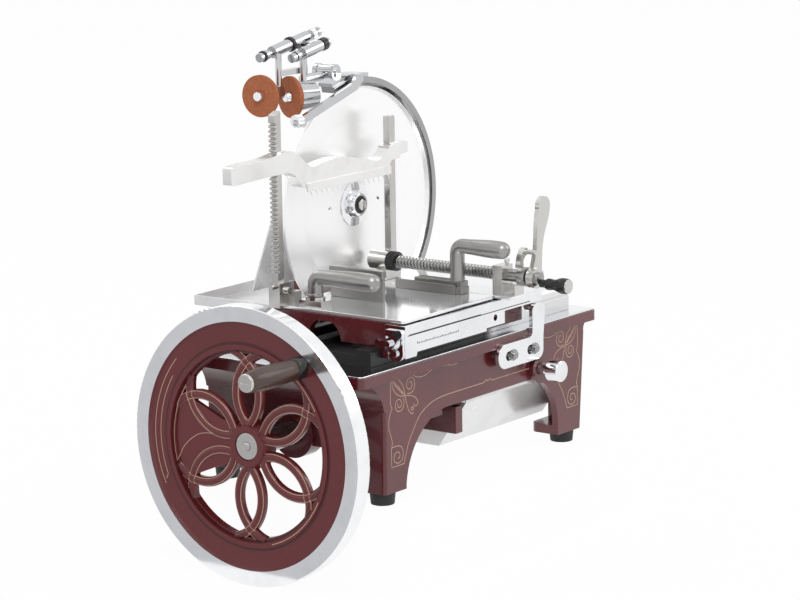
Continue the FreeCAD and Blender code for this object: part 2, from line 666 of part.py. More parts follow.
def make_thickness_knob():
    y0 = FRONT_Y - 38
    body = rod((KNOB_X, y0, KNOB_Z), Y, KNOB_R, 18)
    body = body.makeFillet(2.0, [e for e in body.Edges if abs(e.BoundBox.YMax - y0) < 0.01
                                 and e.BoundBox.XLength > KNOB_R])
    neck = rod((KNOB_X, y0 + 18, KNOB_Z), Y, KNOB_SPINDLE_R + 2, 12 - SLIDE_GAP)
    spindle = rod((KNOB_X, y0 + 26, KNOB_Z), Y, KNOB_SPINDLE_R, 20)
    return join(body, neck, spindle)


def make_rim():
    s = ring((WHEEL_BACK - RIM_W, 0, SHAFT_Z), X, WHEEL_R, WEB_R, RIM_W)
    return soften(s, 1.5, lambda e: abs(e.BoundBox.ZLength - 2 * WHEEL_R) < 0.1)


def petal_arc(front, back, way):
    """One moulded arc of a petal, from the hub past the petal's tip into the ring."""
    low, high, half, wide = 24.0, 103.0, PETAL_HALF, PETAL_W
    mid, rise = (low + high) / 2, (high - low) / 2
    r = (rise * rise + half * half) / (2 * half)
    cy = half - r
    a0 = math.atan2(low - mid, -cy)
    c, s = math.cos(a0), math.sin(a0)

    def p(x, out):
        return V(x, cy + (r + out) * c, mid + (r + out) * s)
    crown = 3.6
    section = face_of([p(back, -wide), p(front + crown, -wide),
                       (p(front, 0), p(front + crown, wide)), p(back, wide)])
    arc = section.revolve(V(0, cy, mid), X, math.degrees(-a0) + 76)
    return arc if way > 0 else arc.mirror(V(0, 0, 0), Y)


def make_web():
    front = WHEEL_BACK - RIM_W + WEB_DISH
    back = front + WEB_T
    inner_ring = 117.0
    s = ring((front, 0, 0), X, WEB_R, inner_ring, WEB_T + 4)
    bead = ring((front - 1.5, 0, 0), X, inner_ring + 7, inner_ring + 1, 3)
    step = ring((front + 3, 0, 0), X, inner_ring + 1, inner_ring - 4, WEB_T)
    boss = Part.makeCone(25, 29, 8, V(front - 0.5, 0, 0), X)
    hub = rod((front + 7, 0, 0), X, 30, WEB_T + 3)
    arcs = []
    for way in (1, -1):
        one = petal_arc(front + 1.5, back, way)
        for i in range(PETALS):
            t = one.copy()
            t.rotate(V(0, 0, 0), X, 360.0 / PETALS * i)
            arcs.append(t)
    wedge = [(0, 20), (40, 28), (112, 58), ((126, 0), (112, -58)), (40, -28), (0, -20)]
    s = s.fuse([bead, step, boss, hub, prism(wedge, "yz", front + 4.5, back)] + arcs)
    s = s.cut(rod((front - 6, 0, 0), X, CAP_R + RUN_GAP, CAP_X + CAP_T - front + 6))
    s = s.cut(rod((front - 6, 0, 0), X, SHAFT_R, 40)).removeSplitter()
    s.translate(V(0, 0, SHAFT_Z))
    return s


def make_hub_cap():
    x = CAP_X
    cap = rod((x, 0, SHAFT_Z), X, CAP_R, CAP_T)
    cap = cap.makeFillet(1.5, [e for e in cap.Edges if abs(e.BoundBox.XMax - x) < 0.01
                               and e.BoundBox.YLength > CAP_R])
    return cap.cut(rod((x - 1, 0, SHAFT_Z), X, 5.5, 2.5))


def make_main_shaft():
    x0 = CAP_X + CAP_T
    x1 = BLADE_X - MITRE_PINION_R + 3
    shaft = rod((x0, 0, SHAFT_Z), X, SHAFT_R, x1 - x0)
    hub_back = WHEEL_BACK - RIM_W + WEB_DISH + 1 + WEB_T + 9
    collar_a = rod((hub_back, 0, SHAFT_Z), X, 15, -BASE_L / 2 - 7 - hub_back)
    return join(shaft, collar_a)


def make_handle_pin():
    face = WHEEL_BACK - RIM_W
    web = face + WEB_DISH
    x0 = face - GRIP_L - 4
    z = SHAFT_Z + GRIP_Z
    pin = rod((x0, GRIP_Y, z), X, 5, web - x0)
    cap = Part.makeCone(GRIP_CAP_R - 1, GRIP_CAP_R, 3, V(x0 - 3, GRIP_Y, z), X)
    seat = rod((web - 3, GRIP_Y, z), X, 12, 3)
    body = join(pin, cap, seat)
    return body.cut(box(x0 - 4, x0 - 2, GRIP_Y - 6, GRIP_Y + 6, z - 1, z + 1))


def make_grip():
    face = WHEEL_BACK - RIM_W
    x0 = face - GRIP_L - 4 + SLIDE_GAP
    x1 = face + WEB_DISH - 3 - SLIDE_GAP
    n = x1 - x0
    z = SHAFT_Z + GRIP_Z
    bore, r = 5 + RUN_GAP, GRIP_R
    outline = [V(x0, GRIP_Y, z + bore), V(x0, GRIP_Y, z + GRIP_CAP_R),
               [V(x0 + n * 0.12, GRIP_Y, z + r - 1), V(x0 + n * 0.4, GRIP_Y, z + r),
                V(x0 + n * 0.7, GRIP_Y, z + r - 1.2), V(x0 + n * 0.88, GRIP_Y, z + r - 1.8),
                V(x1, GRIP_Y, z + r - 2.0)],
               V(x1, GRIP_Y, z + bore)]
    return face_of(outline).revolve(V(0, GRIP_Y, z), X, 360)


def make_lower_carriage():
    front = BED_Y0 - 9
    body = box(CAR_X0, CAR_X1, CAR_Y0, CAR_Y1, CAR_TOP - 8, CAR_TOP)
    body = body.fuse(box(CAR_X0, CAR_X1, front, -60, BED_Z + SLIDE_GAP, CAR_TOP))
    lip = box(CAR_X0, CAR_X1, front, BED_Y0 - SLIDE_GAP, TOP_Z + 8, BED_Z + 2)
    wall = box(CAR_X0, CAR_X0 + 10, CAR_Y0, CAR_Y1, BED_Z + SLIDE_GAP, CAR_TOP)
    arch = rod((CAR_X0 - 1, -34, BED_Z), X, 25, 12)
    wall = wall.cut(arch)
    body = body.fuse([lip, wall])
    body = body.cut(box(CAR_X0 + 30, CAR_X1 - 16, front + 10, -75, BED_Z, CAR_TOP - 8))
    for x0 in (CAR_X0, CAR_X1 - 36):
        body = body.fuse(box(x0, x0 + 36, 8, CAR_Y1, TOP_Z + 6, CAR_TOP))
    body = body.cut(box(CAR_X0 - 1, CAR_X1 + 1, 18 - SLIDE_GAP, 34 + SLIDE_GAP,
                        TOP_Z, BED_Z + SLIDE_GAP))
    body = body.cut(box(CAR_X0 - 1, CAR_X0 + 37, BED_Y1 - 60, 8, TOP_Z, BED_Z + SLIDE_GAP))
    lug = rod((PIVOT_X, 0, ROD_Z + ROD_T + 4), Z, LINK_R + 2, CAR_TOP - 4 - ROD_Z - ROD_T - 4)
    return join(body, lug)


def make_drag_pin():
    pin = rod((PIVOT_X, 0, ROD_Z - 3), Z, LINK_R, ROD_T + 7)
    head = rod((PIVOT_X, 0, ROD_Z - 6), Z, LINK_R + 4, 5.5)
    return join(pin, head)


def make_beam():
    y1 = BEAM_Y0 + BEAM_T
    x0 = CAR_X0 - 5
    upper = box(x0, 92, BEAM_Y0, -134, 206, 221)
    upper = upper.cut(box(x0 + 10, 93, y1, -133, 205, 214))
    upper = upper.fuse(box(60, 92, BEAM_Y0 + 1, -134, 206, 216))
    lower = prism([(x0, 182), (x0 + 22, 182), (x0 + 24, 187), (-28, 187), (-28, 207), (x0, 207)],
                  "xz", BEAM_Y0, y1)
    groove = box(x0 + 8, -40, BEAM_Y0 - 1, BEAM_Y0 + 1.2, 209, 211)
    back = box(x0, -60, y1, BED_Y0 - 9, 190, 221)
    ear = box(-28, 14, BEAM_Y0 + 2, y1, 190, 210).cut(rod((-6, BEAM_Y0, 200), Y, 4, 12))
    body = upper.fuse([lower, back, ear]).cut(groove)
    return body.cut(make_lower_carriage()).removeSplitter()


def make_end_plate():
    outline = [(-134, 216), (BEAM_Y0 + 1, 216), (BEAM_Y0 + 1, 192),
               ((-148, 178), (-137, 190)), (-134, 196)]
    plate = prism(outline, "yz", CAR_X0 - 9, CAR_X0 - 5)
    bolt = rod((CAR_X0 - 12, -148, 188), X, 4, 5)
    stem = rod((CAR_X0 - 24, -147, 202), X, 4, 17)
    return join(plate, stem, bolt)


def make_wing_lever():
    """A wing nut on the beam's end, with its two lobes across the beam."""
    x0 = CAR_X0 - 22
    hub = Part.makeCone(7, 9, 8, V(x0 + 4, -147, 202), X)
    wings = [(-147, 196), [(-140, 197), (-134, 194), (-128, 196)], ((-125, 201), (-128, 206)),
             [(-135, 204), (-147, 210), (-154, 216), (-159, 219)], ((-165, 216), (-163, 210)),
             [(-157, 204), (-152, 198), (-147, 196)]]
    blade = prism(wings, "yz", x0 + 3, x0 + 9)
    s = hub.fuse(blade)
    return s.cut(rod((x0 - 2, -147, 202), X, 4 + RUN_GAP, 20)).removeSplitter()


def make_deck():
    s = box(TABLE_X1 + 2, CAR_X1, -176, CAR_Y1, CAR_TOP, CAR_TOP + SHEET_T)
    return s


def make_screw_bearing():
    block = box(SCREW_X - 12, SCREW_X + 12, -158, -144, CAR_TOP + SHEET_T, SCREW_Z + 12)
    hub = box(SCREW_X - 10, SCREW_X + 10, -176, -158, CAR_TOP + SHEET_T, SCREW_Z - 10)
    s = block.fuse(hub)
    return s.cut(rod((SCREW_X, -180, SCREW_Z), Y, SCREW_R + RUN_GAP, 40)).removeSplitter()


def make_feed_screw():
    root = SCREW_R - 1.5
    core = rod((SCREW_X, -143, SCREW_Z), Y, root, 48 + 143)
    ribs = []
    n = int((40 + 140) / SCREW_PITCH)
    for i in range(n):
        y = -140 + i * SCREW_PITCH
        ribs.append(rod((SCREW_X, y, SCREW_Z), Y, SCREW_R, SCREW_PITCH * 0.5))
    journal = rod((SCREW_X, -208, SCREW_Z), Y, SCREW_R, 66)
    ratchet = rod((SCREW_X, -190, SCREW_Z), Y, 12, 12)
    return core.fuse(ribs + [journal, ratchet]).removeSplitter()


def make_crank_lever():
    y0, y1 = HUB_Y - 5, HUB_Y + 5
    x, z = SCREW_X, SCREW_Z
    hub = rod((x, y0, z), Y, 13, 10)
    arm = prism([(x - 10, z + 4), [(x - 4, z + 20), (x, z + 34), (x + 2, z + 58), (x + 6, z + 84)],
                 ((x + 19, z + 99), (x + 30, z + 84)),
                 [(x + 25, z + 68), (x + 16, z + 48), (x + 13, z + 33), (x + 12, z + 18),
                  (x + 11, z + 4)]], "xz", HUB_Y - 3, HUB_Y + 3)
    pawl = prism([(x - 17, z + 13), [(x - 16, z + 22), (x - 11, z + 32), (x - 4, z + 37)],
                  ((x + 1, z + 33), (x - 2, z + 28)), [(x - 9, z + 22), (x - 9, z + 16)],
                  (x - 12, z + 12.5)], "xz", HUB_Y + 10, HUB_Y + 17)
    stud = rod((x - 3, HUB_Y - 4, z + 32), Y, 3, 24)
    s = hub.fuse([arm, pawl, stud])
    return s.cut(rod((x, y0 - 1, z), Y, SCREW_R + RUN_GAP, 12)).removeSplitter()


def make_release_knob():
    """A waisted knob, turned about its own axis under the screw."""
    z = SCREW_Z - 6
    y = -208 - SLIDE_GAP
    outline = [V(SCREW_X, y, z), V(SCREW_X, y, z + 5), V(SCREW_X, y - 7, z + 5),
               [V(SCREW_X, y - 12, z + 7.2), V(SCREW_X, y - 20, z + 6.6),
                V(SCREW_X, y - 28, z + 9), V(SCREW_X, y - 34, z + 9.8)],
               V(SCREW_X, y - 40, z + 9.4), V(SCREW_X, y - 41.5, z + 8), V(SCREW_X, y - 41.5, z)]
    return face_of(outline).revolve(V(SCREW_X, 0, z), Y, 360)


def make_table_plate():
    s = box(CAR_X0 + 2, TABLE_X1, TABLE_Y0, TABLE_Y1, CAR_TOP + 0.2, TABLE_TOP)
    return soften(s, 5, along(Z))


def make_rack_clamp():
    z0 = TABLE_TOP
    y0, y1 = FRAME_Y - 12, FRAME_Y + 5
    block = box(RACK_X - 12, RACK_X + 16, y0, y1, z0, z0 + 30)
    block = block.fuse([box(RACK_X + 15, RACK_X + 34, y0 + 3, y1 - 3, z0, z0 + 15),
                        rod((RACK_X - 18, FRAME_Y - 3, z0 + 26), X, 3.4, 7),
                        rod((RACK_X + 3, y0 - 4, z0 + 20), Y, 4.2, 5)])
    w, d = POST_W / 2, POST_D / 2
    return block.cut(box(RACK_X - w, RACK_X + w, FRAME_Y - d, FRAME_Y + d, z0 - 1, z0 + 40))


def make_rack():
    w, d = POST_W / 2, POST_D / 2
    post = box(RACK_X - w, RACK_X + w, FRAME_Y - d, FRAME_Y + d, TABLE_TOP, RACK_TOP)
    top = prism([(RACK_X - w - 1, RACK_TOP - 5), (RACK_X + w + 1, RACK_TOP + 1),
                 (RACK_X - w - 1, RACK_TOP + 1)], "xz", FRAME_Y - d - 1, FRAME_Y + d + 1)
    notch = [top]
    z = TABLE_TOP + 42
    while z < RACK_TOP - 15:
        notch.append(prism([(RACK_X - w - 1, z), (RACK_X - w + 3.4, z + 0.6),
                            (RACK_X - w + 3.4, z + 2.2), (RACK_X - w - 1, z + 3.4)],
                           "xz", FRAME_Y - d - 1, FRAME_Y + d + 1))
        z += RACK_PITCH
    return post.cut(Part.makeCompound(notch))


def make_post():
    post = box(POST_X - POST_W / 2, POST_X + POST_W / 2, FRAME_Y - POST_D / 2,
               FRAME_Y + POST_D / 2, CAR_TOP + SHEET_T + 12, POST_TOP)
    return post


def make_nut_carrier():
    z0 = CAR_TOP + SHEET_T + 0.4
    y0, y1 = FRAME_Y - 10, FRAME_Y + 4.5
    arm = box(-26, POST_X + 8, y0, y1, z0, z0 + 11.6)
    block = box(SCREW_X - 10, SCREW_X + 6, y0, y1, z0 + 11, SCREW_Z)
    sleeve = rod((SCREW_X - 1, y0, SCREW_Z), Y, 12, y1 + 13 - y0)
    s = arm.fuse([block, sleeve])
    s = s.cut(rod((SCREW_X, y0 - 10, SCREW_Z), Y, SCREW_R + SLIDE_GAP, 60))
    w, d = POST_W / 2, POST_D / 2
    return s.cut(box(POST_X - w, POST_X + w, FRAME_Y - d, FRAME_Y + d, z0 + 11.6, POST_TOP)
                 ).removeSplitter()


def make_nut():
    return ring((SCREW_X, FRAME_Y - 22, SCREW_Z), Y, 12.5, SCREW_R + SLIDE_GAP, 12)


def bar_outline():
    """The press bar seen from the front: a grip, a step down and a long low arch."""
    return [(-286, 386), (-286, 408), [(-255, 409.5), (-220, 410.5), (-191, 414.5),
                                       (-174, 414.5), (-160, 408), (-146, 397), (-132, 389.5)],
            [(-108, 393.5), (-84, 395), (-52, 391.5), (-20, 384.5), (-3, 381.5)],
            [(8, 384), (20, 391.5), (31, 398)], (46, 400), (62, 398), (62, 384), (40, 382),
            [(28, 378), (22, 365)], (-143, 365),
            [(-154, 369), (-163, 379), (-174, 387), (-190, 389)], [(-221, 388.5), (-286, 386)]]


def make_press_bar():
    half = BAR_T / 2 + 2
    y0, y1 = FRAME_Y - half, FRAME_Y + half
    s = prism(bar_outline(), "xz", y0, y1)
    s = soften(s, 3.0, lambda e: e.BoundBox.XMax < -285.9)
    w, d = POST_W / 2 + SLIDE_GAP, POST_D / 2 + SLIDE_GAP
    s = s.fuse(box(POST_X - 12, POST_X + 12, y0, y1, 378, 396))
    for x in (RACK_X, POST_X):
        s = s.cut(box(x - w, x + w, FRAME_Y - d, FRAME_Y + d, 300, 500))
    return s.removeSplitter()


def make_comb():
    strip = box(-146, 24, FRAME_Y - BAR_T / 2 - 4, FRAME_Y - BAR_T / 2 - 2, COMB_Z - 4, COMB_Z + 6)
    spikes = []
    x0 = -61 - SPIKE_PITCH * (SPIKES - 1) / 2
    for i in range(SPIKES):
        x = x0 + i * SPIKE_PITCH * 0.87
        spikes.append(Part.makeCone(1.0, 0.2, 8, V(x + 12, FRAME_Y - BAR_T / 2 - 3, COMB_Z - 3.5),
                                    V(0, -0.35, -1)))
    return strip.fuse(spikes).removeSplitter()


def handle(x, y, z0, z1, length, r, tip_r):
    """A cast handle: a stem up from z0, a bend and a swelling grip towards -Y at z1."""
    bend = 1.35 * r
    collar = rod((x, y, z0), Z, r + 2.5, 3.0)
    stem = Part.makeCone(r + 2, r, z1 - z0 - bend, V(x, y, z0)).fuse(collar)
    disc = Part.Face(Part.Wire(Part.makeCircle(r, V(x, y, z1 - bend), Z)))
    elbow = disc.revolve(V(x, y - bend, z1 - bend), X, 90)
    run = length - bend - tip_r * 0.8
    y1 = y - bend

    def p(t, out):
        return V(x, y1 - t, z1 + out)
    grip = face_of([p(0, 0), p(0, r), [p(run * 0.3, r + (tip_r - r) * 0.35),
                                       p(run * 0.7, tip_r * 0.98), p(run, tip_r * 0.93)],
                    (p(run + tip_r * 0.5, tip_r * 0.66), p(run + tip_r * 0.75, tip_r * 0.25)),
                    p(run + tip_r * 0.75, 0)])
    grip = grip.revolve(V(x, 0, z1), Y, 360)
    return stem.fuse([elbow, grip])


def make_right_jaw():
    z0 = TABLE_TOP + SLIDE_GAP
    split = JAW_TOP - 7
    foot = box(JAW_X - 9, JAW_X + 8, JAW_Y0, JAW_Y1, z0, split)
    cap = box(JAW_X - 8, JAW_X + 7, JAW_Y0 + 1, JAW_Y1 - 8, split, JAW_TOP)
    lip = box(JAW_X - 13, JAW_X - 9, JAW_Y0 + 8, JAW_Y1 + 18, z0, split + 3)
    return join(foot, cap, lip)


def make_right_handle():
    return handle(JAW_X, -104, JAW_TOP + SLIDE_GAP, 286, 76, 7.0, 9.2).removeSplitter()


def make_left_jaw():
    z0 = TABLE_TOP + SLIDE_GAP
    plate = box(-110, -106, -64, 18, z0, 262)
    bar = box(-112, -103, -64, 18, 256, 265)
    return join(plate, bar)


def make_left_mount():
    z0 = TABLE_TOP
    foot = box(LEFT_X - 12, LEFT_X + 12, LEFT_Y - 18, LEFT_Y + 16, z0, z0 + 8)
    return join(foot, rod((LEFT_X, LEFT_Y, z0 + 8), Z, 12, 4))


def make_left_handle():
    return handle(LEFT_X, LEFT_Y, TABLE_TOP + 12 + SLIDE_GAP, 263, 96, 7.6, 10.0
                  ).removeSplitter()


def stone_way(turn):
    return V(math.cos(math.radians(turn)), math.sin(math.radians(turn)), 0)


def make_stone(stone):
    centre, turn = stone
    w = stone_way(turn)
    p = centre - w * (STONE_T / 2)
    s = Part.makeCylinder(STONE_R, STONE_T * 0.6, p, w)
    s = s.fuse(Part.makeCone(STONE_R, STONE_R - 4, STONE_T * 0.4, p + w * (STONE_T * 0.6), w))
    return s.cut(Part.makeCylinder(AXLE_R + RUN_GAP, STONE_T + 4, p - w * 2, w)).removeSplitter()


def make_stone_axle(stone, length):
    centre, turn = stone
    w = stone_way(turn)
    p = centre - w * (STONE_T / 2 + 6)
    cap = Part.makeCone(5.5, 7.5, 5.5, p, w)
    pin = Part.makeCylinder(AXLE_R, length, p + w * 5, w)
    return cap.fuse(pin).removeSplitter()


def make_sharpener_bracket():
    band = arc_band(GUARD_OUT, GUARD_OUT + 5, 82, 108, BAND_Y0, HEAD_Y0 - SIDE_GAP)
    foot = box(SWING_X - 9, SWING_X + 9, BAND_Y0, SWING_Y1 + 6, 478, SWING_Z - 9)
    foot = foot.cut(rod((BLADE_X, 50, BLADE_Z), Y, GUARD_OUT, 60))
    foot = foot.fuse(box(SWING_X - 9, SWING_X + 9, SWING_Y0 - 6, SWING_Y1 + 6, 482, SWING_Z))
    ears = foot.fuse(rod((SWING_X, SWING_Y0 - 6, SWING_Z), Y, 9, SWING_Y1 - SWING_Y0 + 12))
    ears = ears.cut(box(SWING_X - 12, SWING_X + 12, SWING_Y0, SWING_Y1, SWING_Z - 11.5, 520))
    pin = rod((SWING_X, SWING_Y0 - 8, SWING_Z), Y, 4, SWING_Y1 - SWING_Y0 + 16)
    top = BLADE_Z + GUARD_OUT + 5
    stay = prism([(-132, 438), (-16, 471), (-4, top - 8), (-4, top), (-16, top), (-24, 480),
                  (-134, 448), ((-140, 441), (-132, 438))], "xz", STAY_Y, STAY_Y + 5)
    root = box(-14, -4, STAY_Y + 4, BAND_Y0, top - 4.6, top)
    bolt = rod((-129, STAY_Y - 3, 443), Y, 6, 4)
    return Part.makeCompound([join(band, ears, pin), join(stay, root, bolt)])


def make_sharpener_head():
    knuckle = rod((SWING_X, SWING_Y0 + SLIDE_GAP, SWING_Z), Y, 8,
                  SWING_Y1 - SWING_Y0 - 2 * SLIDE_GAP)
    arm = rod((-66, 90, 486), X, 6.5, 66 + SWING_X)
    (left, left_turn), (right, right_turn) = STONES
    drum_way = stone_way(right_turn)
    drum = Part.makeCone(19, 17, 26, right + drum_way * 6, drum_way)
    neck = Part.makeCylinder(9, 10, left + stone_way(left_turn) * 30, stone_way(left_turn))
    parts_of = [arm, drum, neck]
    for x, y, z0, z1, r in STRUTS:
        parts_of.append(rod((x, y, z0), Z, r, z1 - z0))
    parts_of.append(box(-113, -60, 86, 95, 495, 502))
    for (start, length), a, b in zip(PUSH_RODS, (26, 22), (96, 58)):
        parts_of.append(Part.makeCylinder(7.6, b - a, start + PUSH_WAY * a, PUSH_WAY))
    parts_of.append(box(-66, -54, 81, 102, 524, 531))
    head = knuckle.fuse(parts_of)
    for start, length in PUSH_RODS:
        head = head.cut(Part.makeCylinder(PUSH_R + RUN_GAP, length + 20, start - PUSH_WAY * 4,
                                          PUSH_WAY))
    head = head.cut(rod((SWING_X, 60, SWING_Z), Y, 4 + RUN_GAP, 60))
    for (centre, turn), n in zip(STONES, AXLE_L):
        head = head.cut(Part.makeCylinder(AXLE_R, n - 4, centre, stone_way(turn)))
    return head.removeSplitter()


def make_push_rod(i):
    start, length = PUSH_RODS[i]
    pin = Part.makeCylinder(PUSH_R, length, start, PUSH_WAY)
    grip = Part.makeCylinder(5.6, 7, start, PUSH_WAY)
    collar = Part.makeCylinder(6.6, 5, start + PUSH_WAY * (8 if i else 10), PUSH_WAY)
    end = Part.makeCylinder(6.4, 6, start + PUSH_WAY * (length - 6), PUSH_WAY)
    return pin.fuse([grip, collar, end]).removeSplitter()


def build():
    parts["base_casting"] = make_base()
    parts["base_top_plate"] = make_top_plate()
    parts["rubber_feet"] = make_feet()
    parts["underside_guard"] = make_guard_tray()
    parts["slide_bed"] = make_slide_bed()
    parts["shaft_bushes"] = Part.makeCompound(make_bearings().Solids + [make_knife_bush()])
    parts["gear_carriers"] = Part.makeCompound([make_cross_beam(), make_gear_bridge()])
    parts["crown_gear"] = make_crown()
    parts["crank_arm"] = make_crank_arm()
    parts["connecting_rod"] = make_connecting_rod()
    parts["shaft_gears"] = Part.makeCompound([make_pinion(), make_mitre_gear()])
    cross = rod((BLADE_X, MITRE_R - 7, SHAFT_Z), Y, CROSS_R, 124 - MITRE_R + 7)
    parts["cross_shaft"] = join(cross, make_cross_pinion())
    parts["lower_sprocket"] = make_sprocket(LOWER_SPROCKET_R, CROSS_R, SHAFT_Z)
    parts["upper_sprocket"] = make_sprocket(UPPER_SPROCKET_R, KNIFE_SHAFT_R, BLADE_Z)
    parts["drive_chain"] = make_chain()
    parts["knife_column"] = Part.makeCompound([make_column(), make_column_cover()])
    parts["blade"] = make_blade()
    parts["knife_shaft"] = make_knife_shaft()
    parts["knife_nut"] = make_knife_nut()
    parts["blade_guard"] = make_guard_ring()
    parts["slice_deflector"] = make_deflector()
    parts["slice_tray"] = make_tray()
    parts["support_bracket"] = make_bracket()
    parts["bracket_bolts"] = Part.makeCompound(make_bracket_bolts().Solids + [make_roller_pin()])
    parts["support_roller"] = make_roller()
    parts["thickness_knob"] = make_thickness_knob()
    parts["wheel_rim"] = make_rim()
    parts["wheel_web"] = make_web()
    parts["hub_cap"] = make_hub_cap()
    parts["main_shaft"] = make_main_shaft()
    parts["handle_pin"] = make_handle_pin()
    parts["handle_grip"] = make_grip()
    parts["lower_carriage"] = make_lower_carriage()
    parts["drag_pin"] = make_drag_pin()
    parts["carriage_beam"] = Part.makeCompound([make_beam(), make_end_plate()])
    parts["wing_lever"] = make_wing_lever()
    parts["carriage_deck"] = make_deck()
    parts["screw_bearing"] = make_screw_bearing()
    parts["feed_screw"] = make_feed_screw()
    parts["feed_lever"] = make_crank_lever()
    parts["release_knob"] = make_release_knob()
    parts["table_plate"] = make_table_plate()
    parts["table_clamps"] = Part.makeCompound([make_rack_clamp(), make_left_mount()])
    parts["toothed_rack"] = make_rack()
    parts["plain_post"] = make_post()
    parts["nut_carrier"] = make_nut_carrier()
    parts["feed_nut"] = make_nut()
    parts["press_bar"] = make_press_bar()
    parts["press_comb"] = make_comb()
    parts["right_jaw"] = make_right_jaw()
    parts["right_handle"] = make_right_handle()
    parts["left_jaw"] = make_left_jaw()
    parts["left_handle"] = make_left_handle()
    parts["sharpener_bracket"] = make_sharpener_bracket()
    parts["sharpener_head"] = make_sharpener_head()
    parts["stone_axles"] = Part.makeCompound([make_stone_axle(STONES[0], AXLE_L[0]),
                                              make_stone_axle(STONES[1], AXLE_L[1])])
    parts["left_stone"] = make_stone(STONES[0])
    parts["right_stone"] = make_stone(STONES[1])
    parts["left_push_rod"] = make_push_rod(0)
    parts["right_push_rod"] = make_push_rod(1)
    os.makedirs("parts", exist_ok=True)
    for name, shape in parts.items():
        if not shape.isValid():
            print("not valid:", name)
        shape.exportStep("parts/" + name + ".step")
    print(len(parts), "nodes,", sum(len(s.Solids) for s in parts.values()), "solids")


build()
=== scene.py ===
"""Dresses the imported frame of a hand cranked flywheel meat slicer."""

import json
import logging
import math
from dataclasses import dataclass, field
from enum import Enum
from typing import Iterable, Sequence

import bpy
from mathutils import Matrix, Vector

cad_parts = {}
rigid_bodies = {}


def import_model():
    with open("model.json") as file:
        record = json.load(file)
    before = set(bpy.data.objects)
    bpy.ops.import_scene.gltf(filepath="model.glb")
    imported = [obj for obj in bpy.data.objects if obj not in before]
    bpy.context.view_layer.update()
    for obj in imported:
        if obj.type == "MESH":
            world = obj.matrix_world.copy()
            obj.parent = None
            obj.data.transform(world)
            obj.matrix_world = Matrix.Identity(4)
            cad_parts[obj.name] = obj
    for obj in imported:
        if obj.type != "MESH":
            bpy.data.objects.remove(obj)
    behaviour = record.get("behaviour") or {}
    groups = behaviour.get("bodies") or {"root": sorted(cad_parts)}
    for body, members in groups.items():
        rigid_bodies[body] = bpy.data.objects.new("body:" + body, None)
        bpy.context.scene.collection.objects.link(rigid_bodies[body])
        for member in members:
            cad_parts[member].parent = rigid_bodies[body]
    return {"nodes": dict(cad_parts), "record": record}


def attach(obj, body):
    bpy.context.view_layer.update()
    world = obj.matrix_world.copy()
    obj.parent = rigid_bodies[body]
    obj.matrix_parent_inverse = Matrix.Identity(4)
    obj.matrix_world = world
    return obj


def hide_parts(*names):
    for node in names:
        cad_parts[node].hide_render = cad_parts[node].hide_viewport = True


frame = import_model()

for spare in [piece for piece in bpy.data.objects if piece.name in ("Cube", "Light", "Camera")]:
    bpy.data.objects.remove(spare)

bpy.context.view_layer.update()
MM = 0.001
LOG = logging.getLogger("slicer")

EDGE_ANGLE = math.radians(35)
EDGE_SEGMENTS = 2
SMOOTH_ANGLE = math.radians(40)
FLAT_ANGLE = math.radians(0.5)
WELD_REACH = 1e-6
RIDGE_ANGLE = math.radians(60)
RIDGE_BEVEL = 0.25
RIDGE_DEPTH = 0.07
RIBBON_FLATNESS = 0.25
RIBBON_LIFT = 0.28
CLOUD = (9.0, 4.0)
PEEL = (420.0, 2.0)
WHITE = (1.0, 1.0, 1.0)
MIRROR_RAYS = ("Is Glossy Ray", "Is Transmission Ray")

Pair = tuple[float, float]
Triple = tuple[float, float, float]


def mm(x: float, y: float, z: float) -> Vector:
    """A point written in millimetres."""
    return Vector((x, y, z)) * MM


class Plane(Enum):
    """The plane that a flat drawing lies in, by the axis it faces."""

    FACES_X = 0
    FACES_Y = 1

    def point(self, a: float, b: float, off: float) -> Vector:
        """A point of the drawing.

        Args:
            a: first coordinate in millimetres, Y on a plane that faces X and else X.
            b: height in millimetres.
            off: place along the axis that the plane faces, in millimetres.

        Returns:
            The point in metres.
        """
        return mm(off, a, b) if self is Plane.FACES_X else mm(a, off, b)


class Wave:
    """A shader value whose sums and products become Math nodes."""

    def __init__(self, sheet: "Sheet", socket: bpy.types.NodeSocket) -> None:
        """Keeps the sheet and the socket that carries the value."""
        self.sheet = sheet
        self.socket = socket

    def _math(self, operation: str, *values: "Wave | float") -> "Wave":
        """Adds one Math node and returns its value."""
        node = self.sheet.node("ShaderNodeMath", {"operation": operation}, dict(enumerate(values)))
        return Wave(self.sheet, node.outputs[0])

    def __add__(self, other: "Wave | float") -> "Wave":
        """Sum."""
        return self._math("ADD", self, other)

    __radd__ = __add__

    def __sub__(self, other: "Wave | float") -> "Wave":
        """Difference."""
        return self._math("SUBTRACT", self, other)

    def __rsub__(self, other: float) -> "Wave":
        """Difference from a number."""
        return self._math("SUBTRACT", other, self)

    def __mul__(self, other: "Wave | float") -> "Wave":
        """Product."""
        return self._math("MULTIPLY", self, other)

    __rmul__ = __mul__

    def __pow__(self, other: float) -> "Wave":
        """Power."""
        return self._math("POWER", self, other)

    def larger(self, other: "Wave | bpy.types.NodeSocket") -> "Wave":
        """The larger of two values."""
        return self._math("MAXIMUM", self, other)

    def window(self, low: float, high: float) -> "Wave":
        """Goes smoothly from 0 at low to 1 at high, and stays there."""
        settings = {"interpolation_type": "SMOOTHSTEP"}
        node = self.sheet.node("ShaderNodeMapRange", settings,
                               {"Value": self, "From Min": low, "From Max": high})
        return Wave(self.sheet, node.outputs[0])


Link = "Wave | bpy.types.NodeSocket | float | Sequence[float]"


